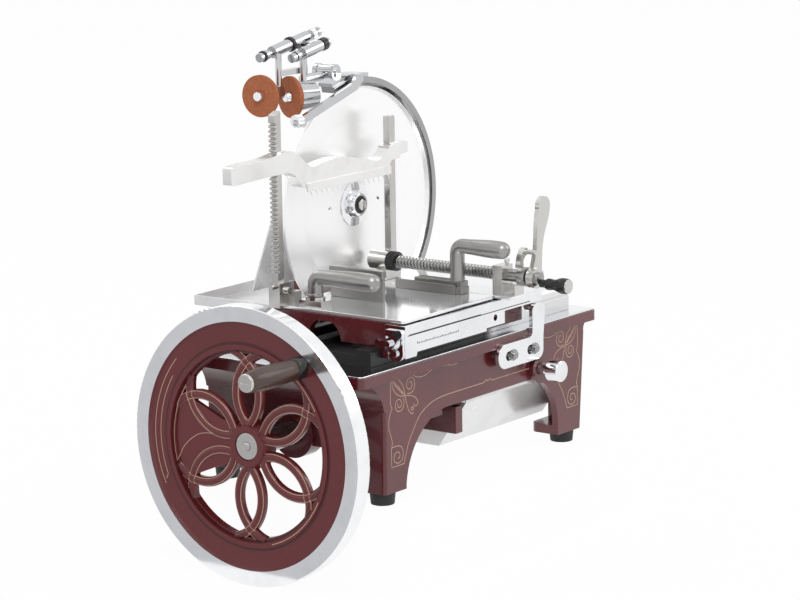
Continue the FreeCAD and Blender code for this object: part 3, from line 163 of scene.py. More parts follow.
class Sheet:
    """The node tree of one material."""

    def __init__(self, name: str) -> None:
        """Makes an empty material of that name."""
        self.material = bpy.data.materials.new(name)
        self.material.use_nodes = True
        self.tree = self.material.node_tree
        self.tree.nodes.clear()
        self.coords = self.node("ShaderNodeTexCoord").outputs["Object"]

    def node(self, kind: str, settings: dict | None = None,
             inputs: dict | None = None) -> bpy.types.Node:
        """Adds a node.

        Args:
            kind: the node's type.
            settings: its properties, set before its sockets.
            inputs: values or links of its sockets, by name or number.

        Returns:
            The node.
        """
        node = self.tree.nodes.new(kind)
        for key, value in (settings or {}).items():
            setattr(node, key, value)
        for key, value in (inputs or {}).items():
            socket = node.inputs[key]
            if isinstance(value, Wave):
                self.tree.links.new(value.socket, socket)
            elif isinstance(value, bpy.types.NodeSocket):
                self.tree.links.new(value, socket)
            elif socket.type == "RGBA" and len(value) == 3:
                socket.default_value = (*value, 1.0)
            else:
                socket.default_value = value
        return node

    def noise(self, scale: float, detail: float, stretch: Sequence[float] = (1, 1, 1),
              roughness: float = 0.5) -> Wave:
        """Noise on Object coordinates, about 0.5 at its middle.

        Args:
            scale: features per metre.
            detail: octaves.
            stretch: scale along each axis, for grain.
            roughness: share of the finer octaves.

        Returns:
            The noise's value.
        """
        mapped = self.node("ShaderNodeMapping", None, {"Vector": self.coords, "Scale": stretch})
        node = self.node("ShaderNodeTexNoise", None,
                         {"Vector": mapped.outputs[0], "Scale": scale, "Detail": detail,
                          "Roughness": roughness})
        return Wave(self, node.outputs["Fac"])

    def blend(self, share: Wave, low: Sequence[float],
              high: Sequence[float]) -> bpy.types.NodeSocket:
        """A colour between two.

        Args:
            share: 0 gives the first colour and 1 the second.
            low: the first colour.
            high: the second colour.

        Returns:
            The colour.
        """
        node = self.node("ShaderNodeMix", {"data_type": "RGBA"},
                         {"Factor": share, 6: (*low, 1.0), 7: (*high, 1.0)})
        return node.outputs[2]

    def bump(self, height: Wave, strength: float, depth: float) -> bpy.types.NodeSocket:
        """A normal bent by a height.

        Args:
            height: 0 to 1.
            strength: share of the full effect.
            depth: full height in metres.

        Returns:
            The normal.
        """
        node = self.node("ShaderNodeBump", None,
                         {"Strength": strength, "Distance": depth, "Height": height})
        return node.outputs[0]

    def surface(self, **sockets: Link) -> bpy.types.Material:
        """Closes the sheet with a Principled BSDF.

        Args:
            sockets: its sockets, with _ for a space in their names.

        Returns:
            The material.
        """
        inputs = {key.replace("_", " "): value for key, value in sockets.items()}
        shader = self.node("ShaderNodeBsdfPrincipled", None, inputs)
        self.node("ShaderNodeOutputMaterial", None, {"Surface": shader.outputs[0]})
        return self.material


@dataclass(frozen=True)
class Enamel:
    """Glossy enamel over cast iron."""

    name: str
    colour: Triple
    shade: Triple

    def make(self) -> bpy.types.Material:
        """Enamel with a soft orange peel and slow changes of depth."""
        sheet = Sheet(self.name)
        cloud = sheet.noise(*CLOUD)
        peel = sheet.noise(*PEEL)
        dust = sheet.noise(60.0, 5.0)
        return sheet.surface(
            Base_Color=sheet.blend(cloud.window(0.3, 0.7), self.shade, self.colour),
            Roughness=0.2 + dust * 0.16,
            Coat_Weight=0.4 + cloud * 0.2,
            Coat_Roughness=0.06,
            Normal=sheet.bump(peel, 0.12, 0.0004),
        )


class Grain(Enum):
    """How a metal was worked last."""

    MIRROR = (1.0, 1.0, 1.0)
    LONG_X = (0.06, 1.0, 1.0)
    LONG_Y = (1.0, 0.06, 1.0)
    LONG_Z = (1.0, 1.0, 0.06)


@dataclass(frozen=True)
class Metal:
    """A bare or plated metal.

    Attributes:
        name: of its material.
        colour: of the clean metal.
        rough: roughness of the clean metal.
        grain: how it was worked last.
        bite: strength of its relief.
        smear: roughness that a smear adds.
        wipe: share of the colour that is left in a smear.
        bare: how metallic it looks.
    """

    name: str
    colour: Triple
    rough: float
    grain: Grain = Grain.MIRROR
    bite: float = 0.04
    smear: float = 0.06
    wipe: float = 0.92
    bare: float = 1.0

    def make(self) -> bpy.types.Material:
        """Metal with wiping marks and a worked grain."""
        sheet = Sheet(self.name)
        smear = sheet.noise(28.0, 5.0, roughness=0.6)
        grain = sheet.noise(900.0, 2.0, self.grain.value)
        ripple = sheet.noise(35.0, 1.0)
        dark = tuple(c * self.wipe for c in self.colour)
        height = grain * (0.0 if self.grain is Grain.MIRROR else 0.5) + ripple
        return sheet.surface(
            Base_Color=sheet.blend(smear.window(0.25, 0.6), dark, self.colour),
            Metallic=self.bare,
            Roughness=self.rough + smear.window(0.45, 0.8) * self.smear,
            Normal=sheet.bump(height, self.bite, 0.001),
        )


@dataclass(frozen=True)
class Wood:
    """Oiled dark hardwood, with its grain along X."""

    name: str
    dark: Triple
    light: Triple

    def make(self) -> bpy.types.Material:
        """Streaks and pores that follow the turned grip."""
        sheet = Sheet(self.name)
        streak = sheet.noise(170.0, 6.0, (0.07, 1.0, 1.0), 0.62)
        pores = sheet.noise(1100.0, 2.0, (0.05, 1.0, 1.0))
        return sheet.surface(
            Base_Color=sheet.blend(streak.window(0.32, 0.68), self.dark, self.light),
            Roughness=0.42 - streak * 0.12,
            Coat_Weight=0.15,
            Normal=sheet.bump(pores, 0.2, 0.0006),
        )


@dataclass(frozen=True)
class Moulded:
    """Rubber, plastic, paint or bonded grit."""

    name: str
    colour: Triple
    rough: float
    grain: float = 700.0
    bite: float = 0.15
    fleck: float = 0.75

    def make(self) -> bpy.types.Material:
        """An even body colour with a fine skin."""
        sheet = Sheet(self.name)
        skin = sheet.noise(self.grain, 4.0)
        tone = sheet.noise(self.grain * 0.2, 4.0)
        dark = tuple(c * self.fleck for c in self.colour)
        return sheet.surface(
            Base_Color=sheet.blend((skin * 0.5 + tone * 0.5).window(0.35, 0.65), dark, self.colour),
            Roughness=self.rough - 0.05 + tone * 0.1,
            Normal=sheet.bump(skin, self.bite, 0.0005),
        )


@dataclass(frozen=True)
class Bed:
    """Guide rails, black at their left as painted shade under the beam and bare at their right."""

    name: str
    # paint is painted shade: this black at the rails' left stands in for the shade under the beam.
    paint: Triple = (0.016, 0.016, 0.017)
    bare: Triple = (0.72, 0.72, 0.73)
    change: Pair = (0.020, 0.045)

    def make(self) -> bpy.types.Material:
        """Goes along X from the painted shade at the left to the bare metal at the right."""
        sheet = Sheet(self.name)
        split = sheet.node("ShaderNodeSeparateXYZ", None, {0: sheet.coords})
        share = Wave(sheet, split.outputs[0]).window(*self.change)
        skin = sheet.noise(300.0, 4.0)
        return sheet.surface(
            Base_Color=sheet.blend(share, self.paint, self.bare),
            Metallic=share,
            Roughness=0.36 - share * 0.14 + skin * 0.05,
            Normal=sheet.bump(skin, 0.15, 0.0005),
        )


@dataclass(frozen=True)
class WheelEnamel:
    """The enamel of the wheel, with shade in the steps round its ring."""

    name: str
    colour: Triple
    shade: Triple
    axis_z: float = 0.076
    steps: tuple[Triple, ...] = ((0.1262, 0.0024, 0.8), (0.1158, 0.003, 0.6),
                                 (0.1105, 0.0022, 0.35))

    @staticmethod
    def left(reach: Wave, radius: float, half: float, depth: float) -> Wave:
        """Share of the light that is left near a step.

        Args:
            reach: distance from the wheel's axis, in metres.
            radius: of the step.
            half: width of the shade on each side of it.
            depth: share of the light that the step takes away.

        Returns:
            The share.
        """
        band = reach.window(radius - half, radius) - reach.window(radius, radius + half)
        return 1.0 - band * depth

    def make(self) -> bpy.types.Material:
        """Enamel that darkens where a step meets a flat ring."""
        sheet = Sheet(self.name)
        split = sheet.node("ShaderNodeSeparateXYZ", None, {0: sheet.coords})
        y, z = Wave(sheet, split.outputs[1]), Wave(sheet, split.outputs[2]) - self.axis_z
        reach = (y * y + z * z) ** 0.5
        first, *others = self.steps
        light = self.left(reach, *first)
        for step in others:
            light = light * self.left(reach, *step)
        cloud = sheet.noise(*CLOUD)
        peel = sheet.noise(*PEEL)
        return sheet.surface(
            Base_Color=sheet.blend(light * (0.75 + cloud * 0.5), self.shade, self.colour),
            Roughness=0.24 + cloud * 0.1,
            Coat_Weight=light * 0.28,
            Coat_Roughness=0.08,
            Normal=sheet.bump(peel, 0.1, 0.0004),
        )


RED = Enamel("oxblood_enamel", (0.125, 0.0125, 0.0165), (0.095, 0.009, 0.012))
WEB = WheelEnamel("wheel_enamel", (0.132, 0.0105, 0.0135), (0.030, 0.003, 0.004))
RAILS = Bed("bed_rails")
CHROME = Metal("bright_chrome", (0.84, 0.85, 0.87), 0.06)
DIAL = Metal("dial_chrome", (0.58, 0.585, 0.60), 0.12)
RIM = Metal("turned_rim", (0.93, 0.935, 0.95), 0.12, bite=0.02)
GUARD = Metal("guard_chrome", (0.40, 0.395, 0.40), 0.1)
BLADE = Metal("ground_blade", WHITE, 0.3, bite=0.006, smear=0.02, wipe=0.99, bare=0.8)
TABLE = Metal("table_chrome", (0.92, 0.925, 0.94), 0.09, Grain.LONG_X, 0.015, bare=0.7)
NICKEL = Metal("satin_nickel", (0.62, 0.61, 0.59), 0.2, bite=0.05)
CAST = Metal("cast_handle", (0.36, 0.355, 0.345), 0.32, bite=0.05)
BOLT = Metal("dark_bolt", (0.34, 0.335, 0.335), 0.18, bite=0.05)
BAR = Metal("polished_bar", (0.86, 0.855, 0.845), 0.2, Grain.LONG_X, 0.02, bare=0.8)
POST = Metal("drawn_post", (0.56, 0.55, 0.535), 0.22, Grain.LONG_Z, 0.03)
STEEL = Metal("machined_steel", (0.37, 0.37, 0.36), 0.26, Grain.LONG_Y, 0.06)
SHEET = Metal("wiped_sheet", (0.90, 0.905, 0.91), 0.24, Grain.LONG_X, 0.02, bare=0.45)
BRONZE = Metal("bronze", (0.52, 0.36, 0.18), 0.3)
WALNUT = Wood("oiled_walnut", (0.030, 0.014, 0.010), (0.085, 0.040, 0.026))
IRON = Moulded("black_iron", (0.016, 0.016, 0.017), 0.38, 300.0, 0.25)
RUBBER = Moulded("rubber", (0.022, 0.021, 0.021), 0.62)
KNOB = Moulded("black_knob", (0.014, 0.014, 0.015), 0.26, 500.0, 0.06)
GRIT = Moulded("orange_grit", (0.50, 0.155, 0.062), 0.85, 1500.0, 0.6, 0.7)
LINING = Moulded("lining_paint", (0.62, 0.42, 0.29), 0.4, 900.0, 0.05, 0.9)
# Black for the graduations and the knife nut's seat, and as painted shade in the beam's gap.
INK_AND_SHADE = Moulded("etched_mark_and_painted_shade", (0.03, 0.03, 0.035), 0.5, 900.0, 0.05)

Finish = Enamel | WheelEnamel | Bed | Metal | Wood | Moulded


class Wardrobe:
    """Makes each finish once and hands it out."""

    def __init__(self) -> None:
        """Starts with no material."""
        self.made: dict[str, bpy.types.Material] = {}

    def get(self, finish: Finish) -> bpy.types.Material:
        """The material of a finish."""
        if finish.name not in self.made:
            self.made[finish.name] = finish.make()
        return self.made[finish.name]

    def wear(self, piece: bpy.types.Object, finish: Finish) -> None:
        """Puts a finish on a piece in place of what it has."""
        piece.data.materials.clear()
        piece.data.materials.append(self.get(finish))


WARDROBE = Wardrobe()


class Bench:
    """Models pieces with Blender's own operators."""

    @staticmethod
    def clear() -> None:
        """Deselects everything."""
        bpy.ops.object.select_all(action="DESELECT")

    @staticmethod
    def pick(piece: bpy.types.Object) -> None:
        """Selects one piece and makes it the active one."""
        Bench.clear()
        piece.select_set(True)
        bpy.context.view_layer.objects.active = piece

    @staticmethod
    def settle(piece: bpy.types.Object) -> None:
        """Moves a piece's place into its mesh, so that its object is at the origin."""
        Bench.pick(piece)
        bpy.ops.object.transform_apply(location=True, rotation=True, scale=True)

    @staticmethod
    def modify(piece: bpy.types.Object, kind: str, **settings: object) -> None:
        """Adds a modifier and applies it."""
        Bench.pick(piece)
        made = piece.modifiers.new(kind.lower(), kind)
        for key, value in settings.items():
            setattr(made, key, value)
        bpy.ops.object.modifier_apply(modifier=made.name)

    @staticmethod
    def rounded(piece: bpy.types.Object, width: float) -> None:
        """Rounds the piece's sharp edges and shades it.

        Args:
            piece: the piece.
            width: of the rounding, in millimetres.
        """
        Bench.modify(piece, "BEVEL", width=width * MM, segments=EDGE_SEGMENTS,
                     limit_method="ANGLE", angle_limit=EDGE_ANGLE)
        Bench.pick(piece)
        bpy.ops.object.shade_smooth_by_angle(angle=SMOOTH_ANGLE)

    @staticmethod
    def block(name: str, low: Vector, high: Vector) -> bpy.types.Object:
        """A block between two corners."""
        Bench.clear()
        bpy.ops.mesh.primitive_cube_add(size=1, location=(low + high) / 2)
        piece = bpy.context.object
        piece.name = name
        piece.scale = high - low
        Bench.settle(piece)
        return piece

    @staticmethod
    def drum(name: str, start: Vector, end: Vector, radius: float,
             sides: int = 32) -> bpy.types.Object:
        """A cylinder between two points.

        Args:
            name: of the piece.
            start: centre of one end, in metres.
            end: centre of the other end.
            radius: in millimetres.
            sides: round it.

        Returns:
            The piece.
        """
        Bench.clear()
        way = end - start
        turn = way.to_track_quat("Z", "Y").to_euler()
        bpy.ops.mesh.primitive_cylinder_add(vertices=sides, radius=radius * MM, depth=way.length,
                                            location=(start + end) / 2, rotation=turn)
        piece = bpy.context.object
        piece.name = name
        Bench.settle(piece)
        return piece

    @staticmethod
    def join(name: str, pieces: Sequence[bpy.types.Object]) -> bpy.types.Object:
        """Joins pieces into one object."""
        Bench.pick(pieces[0])
        for piece in pieces[1:]:
            piece.select_set(True)
        bpy.ops.object.join()
        pieces[0].name = name
        return pieces[0]

    @staticmethod
    def knurled(name: str, start: Vector, end: Vector, radius: float,
                ridges: int = 34) -> bpy.types.Object:
        """A cylinder with straight knurling.

        Args:
            name: of the piece.
            start: centre of one end, in metres.
            end: centre of the other end.
            radius: over the ridges, in millimetres.
            ridges: round it.

        Returns:
            The piece.
        """
        piece = Bench.drum(name, start, end, radius, ridges * 2)
        way = (end - start).normalized()
        for vertex in piece.data.vertices:
            if (vertex.index // 2) % 2:
                spoke = vertex.co - start
                spoke -= way * spoke.dot(way)
                vertex.co -= spoke * RIDGE_DEPTH
        Bench.modify(piece, "BEVEL", width=RIDGE_BEVEL * MM, segments=1, limit_method="ANGLE",
                     angle_limit=RIDGE_ANGLE)
        return piece

    @staticmethod
    def ribbon(name: str, lines: Iterable[tuple[Sequence[Pair], bool]], plane: Plane,
               off: float, width: float, face: bpy.types.Object | None = None) -> bpy.types.Object:
        """Painted lines that stand a hair proud of a face.

        Args:
            name: of the piece.
            lines: the points of each line in millimetres, and whether it closes.
            plane: the plane of the drawing.
            off: place of the drawing along its axis, in millimetres.
            width: of a line, in millimetres.
            face: a moulded face that the drawing is pressed on, along X.

        Returns:
            The piece.
        """
        Bench.clear()
        bpy.ops.curve.primitive_bezier_curve_add(location=(0, 0, 0))
        piece = bpy.context.object
        piece.name = name
        curve = piece.data
        curve.splines.clear()
        curve.dimensions = "3D"
        for points, closed in lines:
            spline = curve.splines.new("POLY")
            spline.points.add(len(points) - 1)
            for knot, (a, b) in zip(spline.points, points):
                knot.co = (*plane.point(a, b, off if face else 0.0), 1.0)
            spline.use_cyclic_u = closed
        if face:
            Bench.pick(piece)
            bpy.ops.object.convert(target="MESH")
            Bench.modify(piece, "SHRINKWRAP", target=face, wrap_method="PROJECT",
                         use_project_x=True, use_positive_direction=True,
                         use_negative_direction=False)
            Bench.pick(piece)
            bpy.ops.object.convert(target="CURVE")
            curve = piece.data
        curve.bevel_depth = width * MM / 2
        curve.bevel_resolution = 1
        Bench.pick(piece)
        bpy.ops.object.convert(target="MESH")
        if face:
            piece.location = mm(width * RIBBON_LIFT, 0, 0)
        else:
            piece.scale[plane.value] = RIBBON_FLATNESS
            piece.location = plane.point(0.0, 0.0, off)
        Bench.settle(piece)
        bpy.ops.object.shade_smooth()
        return piece


def hand_over(piece: bpy.types.Object, body: str, slot: str,
              finish: Finish, *stands_for: str) -> None:
    """Dresses a finished piece and gives it to its body.

    Args:
        piece: the piece.
        body: the CAD body that it moves with.
        slot: the record's material slot that it belongs to; not used.
        finish: what it is made of.
        stands_for: CAD nodes that it replaces.
    """
    WARDROBE.wear(piece, finish)
    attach(piece, body)
    if stands_for:
        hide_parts(*stands_for)
    LOG.info("%s rides on %s, %d faces", piece.name, body, len(piece.data.polygons))


def arc(centre: Pair, radius: float, start: float, end: float, steps: int) -> list[Pair]:
    """Points along an arc.

    Args:
        centre: in millimetres.
        radius: in millimetres.
        start: first angle in degrees.
        end: last angle.
        steps: number of points.

    Returns:
        The points.
    """
    out = []
    for i in range(steps):
        t = math.radians(start + (end - start) * i / (steps - 1))
        out.append((centre[0] + radius * math.cos(t), centre[1] + radius * math.sin(t)))
    return out


def spiral(centre: Pair, radius: float, start: float, turns: float,
           inner: float) -> list[Pair]:
    """Points of a scroll that winds inwards.

    Args:
        centre: in millimetres.
        radius: at its outer end.
        start: angle of the outer end, in degrees.
        turns: how often it goes round; below 0 it goes clockwise.
        inner: share of the radius left at its inner end.

    Returns:
        The points.
    """
    steps = max(8, int(abs(turns) * 26))
    out = []
    for i in range(steps + 1):
        share = i / steps
        t = math.radians(start + 360 * turns * share)
        r = radius * (1 - (1 - inner) * share)
        out.append((centre[0] + r * math.cos(t), centre[1] + r * math.sin(t)))
    return out


def swing(points: Sequence[Pair], steps: int = 8) -> list[Pair]:
    """A smooth line through points, as a brush would draw it."""
    out = []
    last = len(points) - 1
    for i in range(last):
        p0, p1, p2, p3 = (points[max(0, min(last, j))] for j in (i - 1, i, i + 1, i + 2))
        for k in range(steps):
            t = k / steps
            out.append(tuple(
                0.5 * (2 * b + (c - a) * t + (2 * a - 5 * b + 4 * c - d) * t * t
                       + (3 * b - a - 3 * c + d) * t ** 3)
                for a, b, c, d in zip(p0, p1, p2, p3)))
    out.append(points[-1])
    return out


def mirrored(lines: Iterable[Sequence[Pair]], middle: float) -> list[list[Pair]]:
    """Lines turned over about an upright axis.

    Args:
        lines: the lines, in millimetres.
        middle: first coordinate of the axis.

    Returns:
        The other half of the drawing.
    """
    return [[(2 * middle - a, b) for a, b in line] for line in lines]


@dataclass
class Flywheel:
    """The flywheel's lining, its hub's screw and the collar of its grip."""

    axis_z: float = 76.0
    front_x: float = -306.0
    petals: int = 6
    bow: Pair = (35.8, 63.5)
    radius: float = 53.3
    edge: float = 4.2
    inner_reach: Pair = (-40.0, 55.0)
    outer_reach: Pair = (-41.0, 62.0)
    crescent: Triple = (143.0, 42.0, -26.0)
    crescent_edge: Triple = (134.5, 33.0, -22.0)
    crescent_tip: Pair = (127.6, -56.5)
    ring: float = 121.0
    ring_reaches: tuple[Pair, Pair] = ((206.0, 252.0), (152.0, 118.0))
    line: float = 1.15
    screw_x: Pair = (-301.4, -300.2)
    screw_radius: float = 5.2
    grip_axis: Pair = (-88.0, 183.5)
    collar_x: Pair = (-322.0, -304.9)
    collar_radius: float = 13.4

    def turned(self, points: Sequence[Pair], turn: float = 0.0) -> list[Pair]:
        """Points turned round the hub and put at its height.

        Args:
            points: drawn about the hub, in millimetres.
            turn: in degrees.

        Returns:
            The points.
        """
        c, s = math.cos(math.radians(turn)), math.sin(math.radians(turn))
        return [(x * c - y * s, x * s + y * c + self.axis_z) for x, y in points]

    def bow_lines(self) -> list[list[Pair]]:
        """Lines on both sides of each bow of the web."""
        lines = []
        for i in range(self.petals):
            for side, (low, high) in ((-1, self.inner_reach), (1, self.outer_reach)):
                radius = self.radius + side * self.edge
                bow = arc((-self.bow[0], self.bow[1]), radius, low, high, 34)
                for half in (bow, *mirrored([bow], 0.0)):
                    lines.append(self.turned(half, 360 / self.petals * i))
        return lines

    def ring_lines(self) -> list[list[Pair]]:
        """The crescent on the ring and the two lines inside it."""
        hub = (0.0, 0.0)
        lines = [arc(hub, *self.crescent, 44),
                 arc(hub, *self.crescent_edge, 36) + [self.crescent_tip]]
        lines += [arc(hub, self.ring, *reach, 30) for reach in self.ring_reaches]
        return [self.turned(line) for line in lines]

    def leaf(self) -> list[Pair]:
        """The outline in the filled sector."""
        back = swing([(96, 62), (104, 48), (111, 30), (115.5, 8), (115.5, -12), (112, -33)], 6)
        low = swing([(112, -33), (104, -17), (93, -5), (79, 4), (66, 7.5), (53, 8)], 6)
        high = swing([(53, 8), (66, 16), (79, 27), (88, 40), (93, 52), (96, 62)], 6)
        return self.turned(back + low[1:] + high[1:-1])

    def build(self) -> None:
        """Presses the lining on the web, then adds the screw and the collar."""
        lines = [(line, False) for line in self.bow_lines() + self.ring_lines()]
        lines.append((self.leaf(), True))
        face = frame["nodes"]["wheel_web"]
        hand_over(Bench.ribbon("wheel_lining", lines, Plane.FACES_X, self.front_x, self.line, face),
                  "flywheel", "bronze", LINING)
        screw = Bench.drum("hub_screw", *(mm(x, 0, self.axis_z) for x in self.screw_x),
                           self.screw_radius)
        Bench.rounded(screw, 0.5)
        hand_over(screw, "flywheel", "nickel", NICKEL)
        collar = Bench.drum("grip_collar", *(mm(x, *self.grip_axis) for x in self.collar_x),
                            self.collar_radius)
        Bench.rounded(collar, 1.2)
        hand_over(collar, "grip", "black_plastic", KNOB)


@dataclass
class BaseLining:
    """The scroll lining on the front of the base, drawn for its left half and turned over."""

    face_y: float = -138.0
    middle: float = 4.5
    line: float = 1.15

    def half(self) -> list[list[Pair]]:
        """The left half: frame, corner leaf, curls, braid and toe scroll."""
        leaf = swing([(-195, 156), (-186, 154.5), (-177, 149), (-171, 141), (-168, 131)])
        under = swing([(-195, 156), (-193, 146), (-187, 137), (-178, 131.5), (-168, 130),
                       (-155, 127.5), (-146, 123), (-142, 116), (-147, 113.5), (-151, 117)])
        vein = [(-193.5, 154.5), (-168, 131)]
        twin = [(-194.5, 152), (-172, 132.5)]
        upper = spiral((-157.5, 142), 11.5, -120, 1.7, 0.2)
        lower = spiral((-180, 121.5), 10.5, 40, -1.7, 0.2)
        tail = swing([(-168, 130), (-165, 121), (-161, 111), (-156, 106), (-151, 105.5)])
        bud = spiral((-153, 112), 3.4, 150, 1.1, 0.3)
        top = swing([(-195, 157.5), (-185, 159), (-167, 158), (-155, 155), (-149, 151), (-141, 148),
                     (-130, 147.3), (-120, 149.5), (-110, 153.5), (-102, 156.5), (-92, 157),
                     (-83, 153.5), (-72, 150), (-60, 150.2)])
        braid = swing([(-147, 153), (-134, 153.3), (-120, 152.5), (-108, 154.5), (-97, 154.5),
                       (-88, 152.3), (-72, 152.5), (-48, 152.5), (-26, 152.5)])
        side = swing([(-196.5, 156), (-196.8, 140), (-196.8, 124), (-194.5, 119.5), (-198.5, 112),
                      (-201, 104), (-200.5, 94), (-196, 83), (-194.5, 76), (-196.5, 71)])
        toe = [(-196.5, 71), (-196.5, 47), (-171.5, 47)]
        arch = swing([(-171.5, 47), (-168, 57), (-162, 70), (-154, 82), (-141, 98), (-127, 107),
                      (-112, 112), (-96, 114.5), (-78, 115.3)]) + [(self.middle - 8, 115.3)]
        scroll = swing([(-196.5, 71), (-186, 71.5), (-177, 69), (-173, 61), (-176, 52.5),
                        (-184, 50), (-191, 54), (-190.5, 61), (-185, 64), (-180, 61.5),
                        (-180.5, 56.5), (-184.5, 56)])
        return [leaf, under, vein, twin, upper, lower, tail, bud, top, braid, side, toe, arch,
                scroll]

    def build(self) -> None:
        """Both halves and the small flourish between them."""
        half = self.half()
        flourish = [swing([(self.middle - 8, 115.3), (self.middle - 4, 118), (self.middle, 115.6),
                           (self.middle + 4, 118), (self.middle + 8, 115.3)])]
        lines = [(line, False) for line in half + mirrored(half, self.middle) + flourish]
        hand_over(Bench.ribbon("front_lining", lines, Plane.FACES_Y, self.face_y, self.line),
                  "stand", "bronze", LINING)


@dataclass
class BeamScale:
    """The graduations on the front beam, and a dark strip of painted shade above them."""

    face_y: float = -160.0
    depth: float = 0.4
    start: float = -171.0
    pitch: float = 3.3
    marks: int = 26
    mark_foot: float = 196.5
    mark_width: float = 1.5
    mark_proud: float = 0.05
    short: float = 1.8
    tall: float = 2.8
    gap_shade_x: Pair = (-190.0, 66.0)
    gap_shade_z: Pair = (208.4, 209.5)
    gap_shade_proud: float = 0.06

    def build(self) -> None:
        """A row of marks, each fifth one taller, and above them a strip of painted shade in the gap
        at the deck plate.
        """
        inside = self.face_y + self.depth
        ticks = []
        for i in range(self.marks):
            x = self.start + self.pitch * i
            top = self.mark_foot + (self.short if i % 5 else self.tall)
            ticks.append(Bench.block("tick", mm(x, self.face_y - self.mark_proud, self.mark_foot),
                                     mm(x + self.mark_width, inside, top)))
        hand_over(Bench.join("beam_ticks", ticks), "carriage", "black_iron", INK_AND_SHADE)
        # Painted shade: a dark strip along the gap between the deck plate and the beam.
        (left, right), (low, high) = self.gap_shade_x, self.gap_shade_z
        gap_shade = Bench.block("beam_groove", mm(left, self.face_y - self.gap_shade_proud, low),
                             mm(right, inside, high))
        hand_over(gap_shade, "carriage", "black_iron", INK_AND_SHADE)


@dataclass
class FineCopies:
    """Stand-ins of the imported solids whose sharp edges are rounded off."""

    owners: dict[str, str] = field(init=False)
    slots: dict[str, str] = field(init=False)

    def __post_init__(self) -> None:
        """Looks up the body and the slot of each node."""
        record = frame["record"]
        bodies = record["behaviour"]["bodies"]
        self.owners = {node: body for body, nodes in bodies.items() for node in nodes}
        self.slots = {part["node"]: part["material_slot"] for part in record["subparts"]}

    @staticmethod
    def copy_of(name: str) -> bpy.types.Object:
        """A copy of a node, freed of needless edges."""
        Bench.pick(frame["nodes"][name])
        bpy.ops.object.duplicate()
        piece = bpy.context.object
        piece.name = "fine_" + name
        Bench.pick(piece)
        bpy.ops.object.mode_set(mode="EDIT")
        bpy.ops.mesh.select_all(action="SELECT")
        bpy.ops.mesh.remove_doubles(threshold=WELD_REACH)
        bpy.ops.mesh.dissolve_limited(angle_limit=FLAT_ANGLE)
        bpy.ops.object.mode_set(mode="OBJECT")
        return piece

    @staticmethod
    def swell(piece: bpy.types.Object, foot: float, blend: float, rise: float) -> None:
        """Fills out a cast handle above its foot.

        Args:
            piece: the handle.
            foot: height below which it stays as it is, in millimetres.
            blend: height over which the swelling sets in.
            rise: how far its skin moves out.
        """
        moves = []
        for vertex in piece.data.vertices:
            share = min(1.0, max(0.0, (vertex.co.z / MM - foot) / blend))
            moves.append(vertex.normal * rise * share * MM)
        for vertex, move in zip(piece.data.vertices, moves):
            vertex.co += move

    def build(self) -> None:
        """Rounds each copy and puts it in its node's place."""
        for name, width in EDGES.items():
            piece = self.copy_of(name)
            if name in SWELLS:
                self.swell(piece, *SWELLS[name])
            Bench.rounded(piece, width)
            Bench.modify(piece, "WEIGHTED_NORMAL", keep_sharp=True)
            hand_over(piece, self.owners[name], self.slots[name], FINISHES[name], name)


@dataclass
class SharpenerDials:
    """The knurled rings and the knob of the sharpener, and the hexagon in the knife's nut."""

    way: Vector = field(default_factory=lambda: Vector((0.9836, 0.0, 0.1802)))
    left_rod: Triple = (-136.0, 102.0, 519.0)
    right_rod: Triple = (-99.0, 81.0, 516.0)
    knife_x: float = -2.6
    knife_z: float = 322.6

    def ring(self, name: str, start: Vector, low: float, high: float, radius: float, body: str,
             finish: Metal | Moulded, slot: str) -> None:
        """A knurled ring round a push rod.

        Args:
            name: of the ring.
            start: the rod's left end, in metres.
            low: first end of the ring along the rod, in millimetres.
            high: its other end.
            radius: in millimetres.
            body: that it moves with.
            finish: what it is made of.
            slot: the record's material slot.
        """
        ends = (start + self.way * place * MM for place in (low, high))
        hand_over(Bench.knurled(name, *ends, radius), body, slot, finish)

    def nut(self) -> None:
        """The hexagon and its dark seat in the middle of the knife."""
        seat = Bench.drum("nut_seat", *(mm(self.knife_x, y, self.knife_z) for y in (51.1, 51.9)),
                          11.5)
        hand_over(seat, "knife", "black_iron", INK_AND_SHADE)
        hexagon = Bench.drum("nut_hexagon",
                             *(mm(self.knife_x, y, self.knife_z) for y in (47.6, 51.3)), 7.6, 6)
        Bench.rounded(hexagon, 0.6)
        hand_over(hexagon, "knife", "chrome", NICKEL)

    def build(self) -> None:
        """The knife's hexagon, the rings on both rods and the knob of the stay."""
        left, right = mm(*self.left_rod), mm(*self.right_rod)
        self.nut()
        self.ring("setting_disc", left, 60, 65, 9.6, "sharpener", KNOB, "black_plastic")
        self.ring("left_dial", left, 104, 112, 7.3, "pusher_left", CHROME, "chrome")
        self.ring("left_mark_ring", left, 6.5, 9.5, 7.2, "pusher_left", KNOB, "black_plastic")
        self.ring("right_dial", right, 60, 69, 8.3, "pusher_right", KNOB, "black_plastic")
        knob = Bench.knurled("stay_knob", mm(-138, 46, 445), mm(-128, 46, 445), 8.0)
        hand_over(knob, "stand", "chrome", CHROME)


